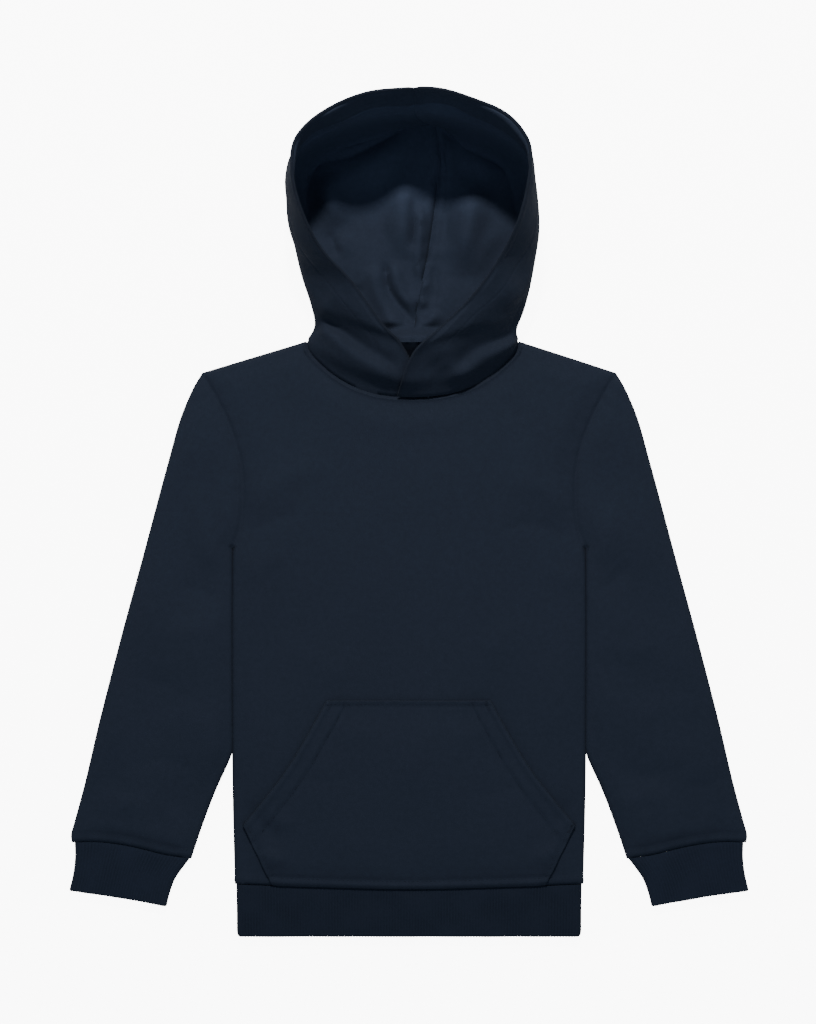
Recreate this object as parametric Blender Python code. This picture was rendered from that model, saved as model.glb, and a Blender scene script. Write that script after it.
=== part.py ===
"""Toddler's pullover hoodie in brushed fleece, laid flat on its back with the hood standing open.

Sizes are in millimetres: X runs across the chest, Y up the body from the lower edge of the hem
band, Z up off the surface that the hoodie lies on. Each cloth piece is a grid of outer points with
a wall that grows inwards, so the outline is the finished garment's own. The lower layer lies flat.
"""

import math

import bpy
import numpy as np

MM = 0.001
GARMENT = "toddler_hoodie"

# Driving sizes.
LENGTH = 596.8  # lower edge of the hem band to the crown of the hood
THICK = 7.0  # the two layers lying on each other, outside to outside
WALL = 2.2  # brushed fleece
RIB_WALL = 2.6  # rib knit, folded double
RIM_WALL = 3.4  # fleece turned back on itself round the hood's rim
RIM_HEM = 25.0  # depth of that turning
SEAM = 0.3  # clearance between two pieces at a seam
RIB_PITCH = 2.05
RIB_DEPTH = 0.5
HALF = THICK / 2  # height of the side seams, and the radius of the rolled edges
ROLL_STEPS = 2  # a rolled edge turns through a quarter circle in this many steps
RIM_STEP = 2.0  # the rim's turning thins out over twice this
NARROW = 3 * THICK  # a narrower run has its closer steps squeezed
TOUCHING = 1e-6
BODY_MIDDLE = (0.0, 200.0)
SHARP = math.radians(60.0)

# Grid steps along each run, between its rolled ends.
SIDE_STEPS = 8
ARMHOLE_STEPS = 7
SHOULDER_STEPS = 4
NECK_STEPS = 16
BACK_NECK_STEPS = 6
SLEEVE_STEPS = 9
SLEEVE_ACROSS = 5
PLAIN_STEPS = 8
POCKET_STEPS = (10, 12)
HOOD_FLOOR_STEPS = 7
HOOD_BASE_STEPS = 4
HOOD_ROW_STEPS = 2  # grid rows from one section to the next

# Outline of the body, right half, as (x, y) from the centre line and the hem's lower edge.
NECK_SHIFT = 3.0  # the neck and the hood lie this far towards +X
HEM_SEAM = ((-124.9, 38.2), (-70.0, 36.2), (0.0, 34.6), (70.0, 36.2), (124.9, 38.2))
SIDE_SEAM = ((124.9, 38.2), (126.3, 110.0), (126.4, 200.0), (126.4, 280.0))
ARMHOLE = (
    (126.4, 280.0),
    (120.6, 297.0),
    (119.0, 317.0),
    (119.9, 338.0),
    (124.9, 359.0),
    (134.0, 381.0),
    (148.3, 406.3),
)
NECK_POINT = (76.5, 429.0)
FRONT_NECK = ((76.5, 429.0), (74.0, 421.5), (67.0, 413.5), (56.5, 404.5), (43.0, 396.6),
              (28.0, 391.4), (14.0, 389.2), (0.0, 388.5))
BACK_NECK = ((76.5, 429.0), (40.0, 427.8), (0.0, 427.5))

# Outline of the right sleeve and cuff.
SLEEVE_OUTER = (
    (148.3, 406.3),
    (155.6, 393.8),
    (164.5, 372.2),
    (172.6, 343.4),
    (180.4, 314.6),
    (191.9, 271.4),
    (207.5, 213.8),
    (222.3, 156.2),
    (232.4, 113.0),
    (239.9, 84.2),
    (241.6, 74.0),
    (240.5, 68.4),
)
SLEEVE_INNER = (
    (128.3, 268.0),
    (128.6, 235.0),
    (128.6, 180.0),
    (129.0, 140.0),
    (132.0, 123.0),
    (138.0, 109.5),
    (144.0, 95.5),
    (150.2, 78.0),
    (156.6, 56.4),
)
SLEEVE_CAP = 0.33  # share of the outer edge that lies opposite the armhole
SLEEVE_MIDDLE = (185.0, 220.0)
CUFF_SEAM = ((240.5, 68.4), (226.0, 68.6), (209.0, 66.8), (192.0, 63.4), (175.0, 59.2),
             (156.6, 56.4))
CUFF_TOP = ((239.6, 67.2), (224.0, 67.4), (209.0, 65.9), (192.0, 62.6), (176.0, 58.8),
            (161.5, 56.2))
CUFF_OUTER = ((239.6, 67.2), (240.2, 56.0), (241.9, 43.0), (243.7, 33.8))
CUFF_INNER = ((161.5, 56.2), (166.2, 47.5), (170.2, 38.0), (173.2, 29.0), (175.3, 22.3))
CUFF_EDGE = ((243.7, 33.8), (209.5, 28.8), (175.3, 22.3))

# Hem band: (x, y) down the right edge, with a small radius at the lower corner.
BAND_EDGE = ((123.8, 37.9), (123.5, 20.0), (123.4, 3.0), (122.2, 0.0))
BAND_ROWS = (0.0, 0.92, 1.0)  # shares of that edge at which the band has a ring

# Kangaroo pocket, right half, from the hem seam up to the top edge.
POCKET_LOWER_SIDE = ((98.0, 37.6), (119.0, 80.5))
POCKET_OPENING = ((119.0, 80.5), (102.8, 100.5), (86.5, 122.6), (72.0, 147.0), (58.8, 170.6))
POCKET_LIFT = SEAM + WALL  # it lies on the front panel

# The hood, section by section from the left front round the crown to the right front. Each section
# runs from the rim out over the widest point (the belly), under to the floor, and in to the centre
# back seam, which it meets at seam_y. The belly stands at BELLY_RISE of the rim's height.
HOOD_COLUMNS = ("rim_x", "rim_y", "rim_z", "belly_x", "belly_y", "seam_y")
HOOD_SECTIONS = (
    (-2.5, 421.5, 12.5, -67.5, 440.0, 440.0),
    (-17.0, 437.5, 23.0, -70.0, 454.5, 455.0),
    (-39.0, 467.0, 44.0, -76.5, 475.0, 471.0),
    (-60.5, 489.0, 65.0, -81.5, 497.0, 489.0),
    (-74.0, 514.0, 84.0, -85.5, 521.0, 506.0),
    (-80.5, 541.0, 96.0, -86.7, 544.0, 523.0),
    (-76.5, 565.5, 101.0, -78.0, 565.0, 538.0),
    (-47.0, 587.0, 104.0, -45.5, 583.0, 551.0),
    (4.0, 596.7, 105.0, 5.0, 592.0, 561.0),
    (56.5, 583.8, 104.0, 55.0, 580.0, 551.0),
    (81.0, 562.9, 101.0, 81.5, 562.0, 538.0),
    (83.2, 539.5, 96.0, 88.4, 542.0, 523.0),
    (76.5, 509.0, 83.0, 91.8, 516.0, 506.0),
    (64.0, 484.0, 65.0, 90.4, 491.5, 489.0),
    (43.0, 456.0, 45.0, 87.0, 468.0, 471.0),
    (18.0, 432.5, 28.0, 82.5, 450.0, 455.0),
    (2.5, 416.5, 19.0, 77.5, 436.5, 440.0),
)
CROWN_ROW = 8
CROWN_BASE_Y = 587.0  # where the centre seam turns from the crown's wall onto the floor
BELLY_RISE = 0.55
RIM_LEAN = 0.45  # share of the way out to the belly in which the wall leaves the rim
RIM_DROP = 0.05  # and of the fall to it
UPRIGHT = 0.6  # share of each fall over which the wall stands upright at the belly
FLOOR_LEAN = 0.5  # share of the way out again in which it leaves the floor
FLOOR_INSET = 6.0  # the hood meets the floor this far in from its widest point
FLOOR_INSET_RISE = 0.16  # and this share of that point's height further
HOOD_SEAM = ((2.5, 427.5), (7.0, 458.5), (14.5, 494.5), (19.5, 530.4), (23.0, 561.0), (19.5, 587.0))
FLAP_STEPS = 1  # neckline steps by which each front flap passes the centre
FLAP_LIFT = 4.2  # the right flap's neck edge lies on the left one's by this much
FLAP_FALL = 4  # neckline steps in which it comes down to the front panel

# Soft folds of the hood's collar: line from (x0, y0) to (x1, y1), height and half width.
FOLD_COLUMNS = ("side", "x0", "y0", "x1", "y1", "height", "half_width")
COLLAR_FOLDS = (
    (-1, -63.0, 446.0, -14.0, 409.0, 2.6, 8.0),
    (-1, -54.0, 428.0, -10.0, 398.0, -2.0, 7.0),
    (1, 70.0, 458.0, 32.0, 420.0, -2.4, 8.0),
    (1, 66.0, 424.0, 24.0, 404.0, 2.4, 8.0),
)

# Finishes: colour, roughness and metallic value.
FINISHES = {
    "fleece": ((0.0125, 0.0185, 0.0300, 1.0), 0.92, 0.0),
    "rib_knit": ((0.0075, 0.0125, 0.0215, 1.0), 0.94, 0.0),
}


def unit(vectors):
    return vectors / np.linalg.norm(vectors, axis=-1, keepdims=True)


def through(points, steps=12):
    """Points close together on a smooth curve through the given ones (Catmull-Rom)."""
    knots = np.array(points, float)
    before = 2 * knots[0] - knots[1]
    after = 2 * knots[-1] - knots[-2]
    padded = np.vstack((before, knots, after))
    t = np.linspace(0.0, 1.0, steps, endpoint=False)[:, None]
    spans = []
    for a, b, c, d in zip(padded, padded[1:], padded[2:], padded[3:]):
        cubic = 3 * b - a - 3 * c + d
        square = 2 * a - 5 * b + 4 * c - d
        spans.append(0.5 * (2 * b + (c - a) * t + square * t**2 + cubic * t**3))
    return np.vstack(spans + [knots[-1:]])


def reach(points):
    """Length along a run of points, up to each of them."""
    steps = np.linalg.norm(np.diff(points, axis=0), axis=1)
    return np.concatenate(([0.0], np.cumsum(steps)))


def walk(points, fractions):
    """Points at the given fractions of a run's length."""
    along = reach(points)
    at = np.asarray(fractions) * along[-1]
    return np.column_stack([np.interp(at, along, axis) for axis in points.T])


def rolled(length, steps, start=True, end=True):
    """Fractions of a run: even steps, with closer ones where an end rolls over."""
    length = max(length, NARROW)
    turn = np.radians(np.linspace(0.0, 90.0, ROLL_STEPS + 1))[:-1]
    near = HALF * (1 - np.cos(turn))
    head = near if start else []
    tail = length - near[::-1] if end else []
    first = HALF if start else 0.0
    last = length - HALF if end else length
    middle = np.linspace(first, last, steps + 1)
    return np.concatenate((head, middle, tail)) / length


def beside(run, distance):
    """A plan run moved square to itself, to its left for a positive distance."""
    ahead = unit(np.gradient(run, axis=0))
    return run + distance * np.column_stack((-ahead[:, 1], ahead[:, 0]))


def rolled_run(points, steps, start=True, end=True):
    """A smooth run through the given points, sampled for rolled ends."""
    run = through(points)
    return walk(run, rolled(reach(run)[-1], steps, start, end))


def mirrored(points):
    return np.array(points, float) * (-1, 1)


def shifted(points, x):
    return np.array(points, float) + (x, 0)


def patch(bottom, top, left, right):
    """Grid of plan points inside four edges (a Coons patch). Its rows follow left and right."""
    u = reach(bottom) / reach(bottom)[-1]
    v = (reach(left) / reach(left)[-1] + reach(right) / reach(right)[-1]) / 2
    u = u[None, :, None]
    v = v[:, None, None]
    across = (1 - v) * bottom[None] + v * top[None]
    along = (1 - u) * left[:, None] + u * right[:, None]
    low = (1 - u) * bottom[0] + u * bottom[-1]
    high = (1 - u) * top[0] + u * top[-1]
    return across + along - (1 - v) * low - v * high


def pulled(edge, inside, distance):
    """An edge moved some way towards the next run of points."""
    return edge + distance * unit(inside - edge)


def rolled_off(distance, outward):
    """Outward normals of the upper layer at a distance in from an edge that rolls over.

    The layer turns down there through a quarter circle of radius HALF, so its height above the
    edge's level is HALF times the normal's upward part.
    """
    level = np.clip(1 - distance / HALF, 0.0, 1.0)[..., None]
    return np.concatenate((outward * level, np.sqrt(1 - level**2)), axis=-1)


def nearest_edge(runs, points, middle):
    """Distance of each plan point to the nearest of some runs, and the way out to it.

    A point on a run has its way out square to the run, away from the middle.
    """
    distance = np.full(points.shape[:-1], np.inf)
    outward = np.zeros(points.shape)
    for run in runs:
        for a, b in zip(run, run[1:]):
            piece = b - a
            share = np.clip(((points - a) @ piece) / (piece @ piece), 0.0, 1.0)
            away = a + share[..., None] * piece - points
            far = np.linalg.norm(away, axis=-1)
            square = np.array((piece[1], -piece[0]))
            square *= np.sign(square @ (a - middle))
            away[far < TOUCHING] = square
            closer = far < distance
            distance[closer] = far[closer]
            outward[closer] = unit(away[closer])
    return distance, outward


def solid(plan, height):
    """Plan points with a height to each."""
    return np.concatenate((plan, height[..., None]), axis=-1)


def layer(plan, normals, facing):
    """The upper (facing 1) or lower (facing -1) layer: its outer points and their normals."""
    height = np.maximum(HALF * normals[..., 2], SEAM / 2)
    return solid(plan, HALF + facing * height), normals * (1, 1, facing)


def shoulder_line(side):
    run = np.array((ARMHOLE[-1], (NECK_POINT[0], NECK_POINT[1])), float)
    run[1, 0] += side * NECK_SHIFT
    return run * (side, 1)


def neckline(points):
    """The whole neckline from left to right, as a smooth run."""
    right = through(points)
    left = mirrored(right)
    return shifted(np.vstack((left[:-1], right[::-1])), NECK_SHIFT)


def body_top(neck_points, neck_steps, inset, left_end, right_end):
    """Plan points some way in from the shoulder seams and the neckline, from left to right."""
    neck = beside(neckline(neck_points), -inset)
    from_shoulders, _ = nearest_edge([shoulder_line(sign) for sign in (-1, 1)], neck, BODY_MIDDLE)
    neck = neck[from_shoulders >= inset]
    shoulders = []
    for end, corner in ((left_end, neck[0]), (right_end, neck[-1])):
        run = np.array((end, corner))
        shoulders.append(walk(run, rolled(reach(run)[-1], SHOULDER_STEPS, end=False)))
    middle = walk(neck, rolled(reach(neck)[-1], neck_steps))
    return np.vstack((shoulders[0], middle[1:-1], shoulders[1][::-1]))


def body_plan(neck_points, neck_steps, side_steps):
    """Plan grid of the front or the back, its rows from the hem up."""
    side = walk(through(SIDE_SEAM), np.linspace(0.0, 1.0, side_steps + 1))
    armhole = rolled_run(ARMHOLE, ARMHOLE_STEPS)
    right = np.vstack((side[:-1], armhole))
    left = mirrored(right)
    tops = []
    for back in range(ROLL_STEPS + 1, 0, -1):
        inset = reach(armhole)[-1] - reach(armhole)[-back]
        tops.append(body_top(neck_points, neck_steps, inset, left[-back], right[-back]))
    across = tops[0][:, 0]
    bottom = walk(through(HEM_SEAM), (across - across[0]) / (across[-1] - across[0]))
    plan = patch(bottom, tops[0], left[:-ROLL_STEPS], right[:-ROLL_STEPS])
    plan = np.vstack((plan, tops[1:]))
    neck_part = slice(ROLL_STEPS + SHOULDER_STEPS, -ROLL_STEPS - SHOULDER_STEPS)
    plan[-1, neck_part] = pulled(plan[-1, neck_part], plan[-2, neck_part], SEAM / 2)
    return plan


def body_normals(plan):
    """Normals of the front, which rolls over at the side seams and the shoulder seams."""
    runs = []
    for sign in (-1, 1):
        runs.append(through(SIDE_SEAM) * (sign, 1))
        runs.append(shoulder_line(sign))
    return rolled_off(*nearest_edge(runs, plan, BODY_MIDDLE))


def front_body():
    plan = body_plan(FRONT_NECK, NECK_STEPS, SIDE_STEPS)
    outer, normals = layer(plan, body_normals(plan), 1)
    cloth("front_body", outer, normals, "fleece", WALL)


def back_body():
    plan = body_plan(BACK_NECK, BACK_NECK_STEPS, SIDE_STEPS // 2)
    outer, normals = layer(plan, body_normals(plan), -1)
    cloth("back_body", outer, normals, "fleece", WALL, flip=True)


def pouch_pocket():
    lower_side = walk(np.array(POCKET_LOWER_SIDE, float), (0.0, 0.5, 1.0))
    opening = walk(through(POCKET_OPENING), np.linspace(0.0, 1.0, POCKET_STEPS[1] - 2 + 1))
    right = np.vstack((lower_side[:-1], opening))
    left = mirrored(right)
    hem_run = through(HEM_SEAM)
    share = POCKET_LOWER_SIDE[0][0] / HEM_SEAM[-1][0]
    across = np.linspace(0.5 - share / 2, 0.5 + share / 2, POCKET_STEPS[0] + 1)
    bottom = walk(hem_run, across)
    bottom[0], bottom[-1] = left[0], right[0]
    top = walk(np.vstack((left[-1], right[-1])), np.linspace(0.0, 1.0, POCKET_STEPS[0] + 1))
    plan = patch(bottom, top, left, right)
    outer, normals = layer(plan, body_normals(plan), 1)
    outer[..., 2] += POCKET_LIFT
    cloth("pouch_pocket", outer, normals, "fleece", WALL)


def flat_tube(upper, lower, edges, middle):
    """Rings of a flattened tube from the plan grids of its upper and lower layers.

    Both grids run along the tube by row and across it by column, between the same edges, where
    the layers roll over into each other. The last column of a ring is its first one again.
    """
    sides = []
    for plan, facing in ((upper, 1), (lower, -1)):
        normals = rolled_off(*nearest_edge(edges, plan, middle))
        outer = solid(plan, HALF + facing * HALF * normals[..., 2])
        sides.append((outer, normals * (1, 1, facing)))
    (top, up), (bottom, down) = sides
    rings = np.hstack((top, bottom[:, -2::-1]))
    return rings, np.hstack((up, down[:, -2::-1]))


def sleeve(name, sign):
    """A sleeve whose rows run across it: open to the body down to the underarm, closed below."""
    armhole_run = beside(through(ARMHOLE[::-1]), SEAM)
    shares = rolled(reach(armhole_run)[-1], ARMHOLE_STEPS)[ROLL_STEPS:]
    armhole = walk(armhole_run, shares)
    outer_run = through(SLEEVE_OUTER)
    inner_run = through(np.vstack((armhole[-1], SLEEVE_INNER)))
    rows = []
    for inside, outside in zip(armhole, walk(outer_run, SLEEVE_CAP * shares)):
        line = np.array((inside, outside))
        rows.append(walk(line, rolled(reach(line)[-1], SLEEVE_ACROSS)))
    down = np.linspace(0.0, 1.0, SLEEVE_STEPS + 1)
    outer = walk(outer_run, SLEEVE_CAP + (1 - SLEEVE_CAP) * down)
    inner = walk(inner_run, down)
    lower = patch(rows[-1], rolled_run(CUFF_SEAM[::-1], SLEEVE_ACROSS), inner, outer)
    plan = np.vstack((rows[:-1], lower))
    rings, normals = flat_tube(plan, plan, (inner_run, outer_run), SLEEVE_MIDDLE)
    mirror = (sign, 1, 1)
    underarm = len(armhole) - 1
    cloth(name, rings * mirror, normals * mirror, "fleece", WALL, joined=underarm, flip=sign > 0)


def rib_steps(length):
    """An even number of half ribs that fills the length between its rolled edges."""
    return 2 * round((length - THICK) / RIB_PITCH)


def ribbed_tube(name, first, last, near, far, mirror=(1, 1, 1), flip=False):
    """A rib knit tube between two runs across it; near and far are its side edges."""
    layers = []
    ribs = rib_steps(reach(through(last))[-1])
    for steps in (ribs, PLAIN_STEPS):
        layers.append(patch(rolled_run(first, steps), rolled_run(last, steps), near, far))
    middle = (near[0] + far[-1]) / 2
    rings, normals = flat_tube(*layers, (near, far), middle)
    wall = np.full(rings.shape[:2], RIB_WALL)
    between_ribs = slice(ROLL_STEPS + 1, layers[0].shape[1] - ROLL_STEPS - 1, 2)
    rings[:, between_ribs, 2] -= RIB_DEPTH
    wall[:, between_ribs] -= RIB_DEPTH
    cloth(name, rings * mirror, normals * mirror, "rib_knit", wall, joined=0, flip=flip)


def cuff(name, sign):
    outer = walk(through(CUFF_OUTER), np.linspace(0.0, 1.0, 3))
    inner = walk(through(CUFF_INNER), np.linspace(0.0, 1.0, 3))
    ribbed_tube(name, CUFF_TOP, CUFF_EDGE, outer, inner, mirror=(sign, 1, 1), flip=sign < 0)


def hem_band():
    right = walk(np.array(BAND_EDGE, float), BAND_ROWS)
    left = mirrored(right)
    scale = BAND_EDGE[0][0] / HEM_SEAM[-1][0]
    upper_run = np.array(HEM_SEAM) * (scale, 1) - (0, SEAM)
    lower_run = np.array((left[-1], (left[-1] + right[-1]) / 2, right[-1]))
    ribbed_tube("hem_band", upper_run, lower_run, left, right, flip=True)


def bezier(a, b, c, d, steps):
    t = np.linspace(0.0, 1.0, steps + 1)[:, None]
    return (1 - t) ** 3 * a + 3 * (1 - t) ** 2 * t * b + 3 * (1 - t) * t**2 * c + t**3 * d


def hood_seam_x(y):
    seam = np.array(HOOD_SEAM)
    return np.interp(y, seam[:, 1], seam[:, 0])


def hood_section(row, wall_steps, is_crown):
    """Outer points of one section, from the rim to the centre back seam."""
    size = dict(zip(HOOD_COLUMNS, row))
    rim = np.array((size["rim_x"], size["rim_y"], size["rim_z"]))
    belly = np.array((size["belly_x"], size["belly_y"], BELLY_RISE * size["rim_z"]))
    seam = np.array((hood_seam_x(size["seam_y"]), size["seam_y"], 0.0))
    if is_crown:
        floor = np.array((HOOD_SEAM[-1][0], CROWN_BASE_Y, 0.0))
    else:
        inward = (seam - belly) * (1, 1, 0)
        inset = FLOOR_INSET + FLOOR_INSET_RISE * belly[2]
        floor = belly * (1, 1, 0) + inward * inset / np.linalg.norm(inward)
    fall = rim[2] - belly[2]
    over = rim + RIM_LEAN * (belly - rim) * (1, 1, 0) - (0, 0, RIM_DROP * fall)
    above = belly + (0, 0, UPRIGHT * fall)
    upper = bezier(rim, over, above, belly, wall_steps)
    below = belly - (0, 0, UPRIGHT * belly[2])
    outside = floor + FLOOR_LEAN * (belly - floor) * (1, 1, 0)
    lower = bezier(belly, below, outside, floor, HOOD_BASE_STEPS)
    floor_steps = ROLL_STEPS + HOOD_FLOOR_STEPS - HOOD_BASE_STEPS
    share = np.linspace(0.0, 1.0, floor_steps + 1)[:, None]
    base = (1 - share) * floor + share * seam
    if is_crown:
        base[:, 0] = hood_seam_x(base[:, 1])
    return np.vstack((upper, lower[1:], base[1:]))


def hood_neck_row(side):
    """Outer points along the neck seam, from the flap's front corner round to the centre back."""
    front = neckline(FRONT_NECK)
    back = neckline(BACK_NECK)
    if side > 0:
        front, back = front[::-1], back[::-1]
    over = walk(front, rolled(reach(front)[-1], NECK_STEPS))
    flap = over[ROLL_STEPS + NECK_STEPS // 2 + FLAP_STEPS :: -1]
    half_back = walk(back, (0.0, 0.5))
    under = walk(half_back, rolled(reach(half_back)[-1], HOOD_FLOOR_STEPS, end=False))
    up = rolled_off(reach(flap)[-1] - reach(flap), unit(np.gradient(flap, axis=0)))
    down = rolled_off(reach(under), unit(-np.gradient(under, axis=0)))
    above = HALF + HALF * up[:, 2]
    below = HALF - HALF * down[:, 2]
    if side > 0:
        steps = np.arange(len(flap)) - 2 * FLAP_STEPS
        above += FLAP_LIFT * np.clip(1 - steps / FLAP_FALL, 0.0, 1.0)
    row = np.vstack((solid(flap, above), solid(under, below)[1:]))
    normals = np.vstack((up, (down * (1, 1, -1))[1:]))
    return row, normals, len(flap) - 1


def collar_lift(points, side):
    """Height that the collar's soft folds add to each outer point."""
    lift = np.zeros(points.shape[:-1])
    for row in COLLAR_FOLDS:
        fold = dict(zip(FOLD_COLUMNS, row))
        if fold["side"] != side:
            continue
        line = np.array(((fold["x0"], fold["y0"]), (fold["x1"], fold["y1"])))
        distance, _ = nearest_edge((line,), points[..., :2], BODY_MIDDLE)
        lift += fold["height"] * np.exp(-((distance / fold["half_width"]) ** 2))
    return lift


def hood():
    """Both panels, as halves of one loop of sections that meets at the crown."""
    left_neck, left_normals, wall_steps = hood_neck_row(-1)
    right_neck, right_normals, _ = hood_neck_row(1)
    rows = [left_neck]
    for index, row in enumerate(HOOD_SECTIONS):
        rows.append(hood_section(row, wall_steps, index == CROWN_ROW))
    rows.append(right_neck)
    rows = np.array(rows)
    loop = [through(rows[:, column], HOOD_ROW_STEPS) for column in range(rows.shape[1])]
    loop = np.array(loop).transpose(1, 0, 2)
    crown = HOOD_ROW_STEPS * (CROWN_ROW + 1)
    for side, half in ((-1, slice(1, crown)), (1, slice(crown + 1, -1))):
        collar = loop[half, 1:wall_steps]
        collar[..., 2] += collar_lift(collar, side)
    normals = unit(np.cross(np.gradient(loop, axis=0), np.gradient(loop, axis=1)))
    normals[0], normals[-1] = left_normals, right_normals
    left, right = slice(0, crown + 1), slice(None, crown - 1, -1)
    hood_panel("hood_left", loop[left].copy(), normals[left], -1)
    hood_panel("hood_right", loop[right].copy(), normals[right], 1)


def hood_panel(name, grid, normals, side):
    grid[0] = pulled(grid[0], grid[1], SEAM)
    grid[-1, :, 0] += side * SEAM / 2
    grid[:-1, -1, 0] += side * SEAM / 2
    from_rim = np.array([reach(row) for row in grid])
    turned = np.clip((RIM_HEM + RIM_STEP - from_rim) / (2 * RIM_STEP), 0.0, 1.0)
    wall = WALL + turned * (RIM_WALL - WALL)
    cloth(name, grid, normals, "fleece", wall, flip=side < 0)


def finish(name):
    """The named finish as a material, made once."""
    if name in bpy.data.materials:
        return bpy.data.materials[name]
    colour, roughness, metallic = FINISHES[name]
    material = bpy.data.materials.new(name)
    material.use_nodes = True
    shader = material.node_tree.nodes["Principled BSDF"]
    shader.inputs["Base Color"].default_value = colour
    shader.inputs["Roughness"].default_value = roughness
    shader.inputs["Metallic"].default_value = metallic
    material.diffuse_color = colour
    return material


def cloth(name, outer, normals, finish_name, wall, joined=None, flip=False):
    """An object from a grid of outer points and normals, with a wall that grows inwards.

    The wall is one thickness or a grid of them. From the row called joined on, each row is a
    ring, whose last point is its first one again. Strips join the outer face to the inner one
    along the first and last rows, and along the sides down to where the rings begin.
    """
    rows, columns = outer.shape[:2]
    inner = outer - normals * np.broadcast_to(wall, (rows, columns))[..., None]
    index = np.arange(rows * columns).reshape(rows, columns)
    if joined is None:
        joined = rows - 1
    else:
        index[joined:, -1] = index[joined:, 0]
    behind = index + rows * columns
    sides = slice(0, joined + 1)
    sheets = [
        index,
        behind[:, ::-1],
        np.array((behind[0], index[0])),
        np.array((index[-1], behind[-1])),
        np.array((index[sides, 0], behind[sides, 0])),
        np.array((behind[sides, -1], index[sides, -1])),
    ]
    faces = []
    for sheet in sheets:
        corners = (sheet[:-1, :-1], sheet[:-1, 1:], sheet[1:, 1:], sheet[1:, :-1])
        quads = np.stack([corner.ravel() for corner in corners], axis=1)
        faces.append(quads[:, ::-1] if flip else quads)
    points = np.vstack((outer.reshape(-1, 3), inner.reshape(-1, 3))) - (0.0, LENGTH / 2, 0.0)
    used, faces = np.unique(np.vstack(faces), return_inverse=True)
    mesh = bpy.data.meshes.new(name)
    mesh.from_pydata((points[used] * MM).tolist(), [], faces.reshape(-1, 4).tolist())
    mesh.shade_smooth()
    mesh.set_sharp_from_angle(angle=SHARP)
    mesh.materials.append(finish(finish_name))
    bpy.data.collections[GARMENT].objects.link(bpy.data.objects.new(name, mesh))


def clear_scene():
    for leftover in list(bpy.data.objects):
        bpy.data.objects.remove(leftover, do_unlink=True)


def main():
    clear_scene()
    collection = bpy.data.collections.new(GARMENT)
    bpy.context.scene.collection.children.link(collection)
    front_body()
    back_body()
    for name, sign in (("left", -1), ("right", 1)):
        sleeve("sleeve_" + name, sign)
        cuff("cuff_" + name, sign)
    hem_band()
    pouch_pocket()
    hood()


main()
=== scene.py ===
import math

import bmesh
import bpy
import numpy as np
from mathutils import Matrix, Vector
from mathutils.bvhtree import BVHTree


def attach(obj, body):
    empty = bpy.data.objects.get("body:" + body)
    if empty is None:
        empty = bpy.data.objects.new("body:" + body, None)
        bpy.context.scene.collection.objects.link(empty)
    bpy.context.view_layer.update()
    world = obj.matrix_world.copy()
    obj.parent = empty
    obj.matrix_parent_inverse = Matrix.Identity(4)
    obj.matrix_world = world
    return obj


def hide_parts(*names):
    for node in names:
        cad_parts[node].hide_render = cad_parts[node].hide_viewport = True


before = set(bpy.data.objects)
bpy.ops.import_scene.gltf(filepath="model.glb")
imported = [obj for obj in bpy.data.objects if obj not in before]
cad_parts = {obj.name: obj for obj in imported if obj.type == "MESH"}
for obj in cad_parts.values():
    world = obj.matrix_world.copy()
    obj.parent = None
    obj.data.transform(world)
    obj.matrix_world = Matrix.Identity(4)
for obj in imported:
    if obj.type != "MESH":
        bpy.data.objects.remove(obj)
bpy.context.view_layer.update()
mm = 0.001
print("frame loaded:", len(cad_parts), "nodes")

# Sizes are in millimetres until a mesh is made: x across the chest, y up the body from the hem's
# lower edge, z up off the table.
garment = {
    "length": 596.8,      # hem to crown
    "thick": 7.0,         # front and back lying on each other
    "wall": 2.2,          # brushed fleece
    "ribWall": 2.6,       # rib knit, folded double
    "ease": (0.3, 1.1),   # how much wider the left and right halves lie
    "easeReach": (70, 128),   # that width comes in between these x
    "neckShift": 3.0,     # the neck and hood lie this far towards +x
}
half = garment["thick"] / 2
rollSteps = 5   # steps round a rolled edge
middle = np.array((0.0, 200.0))

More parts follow.
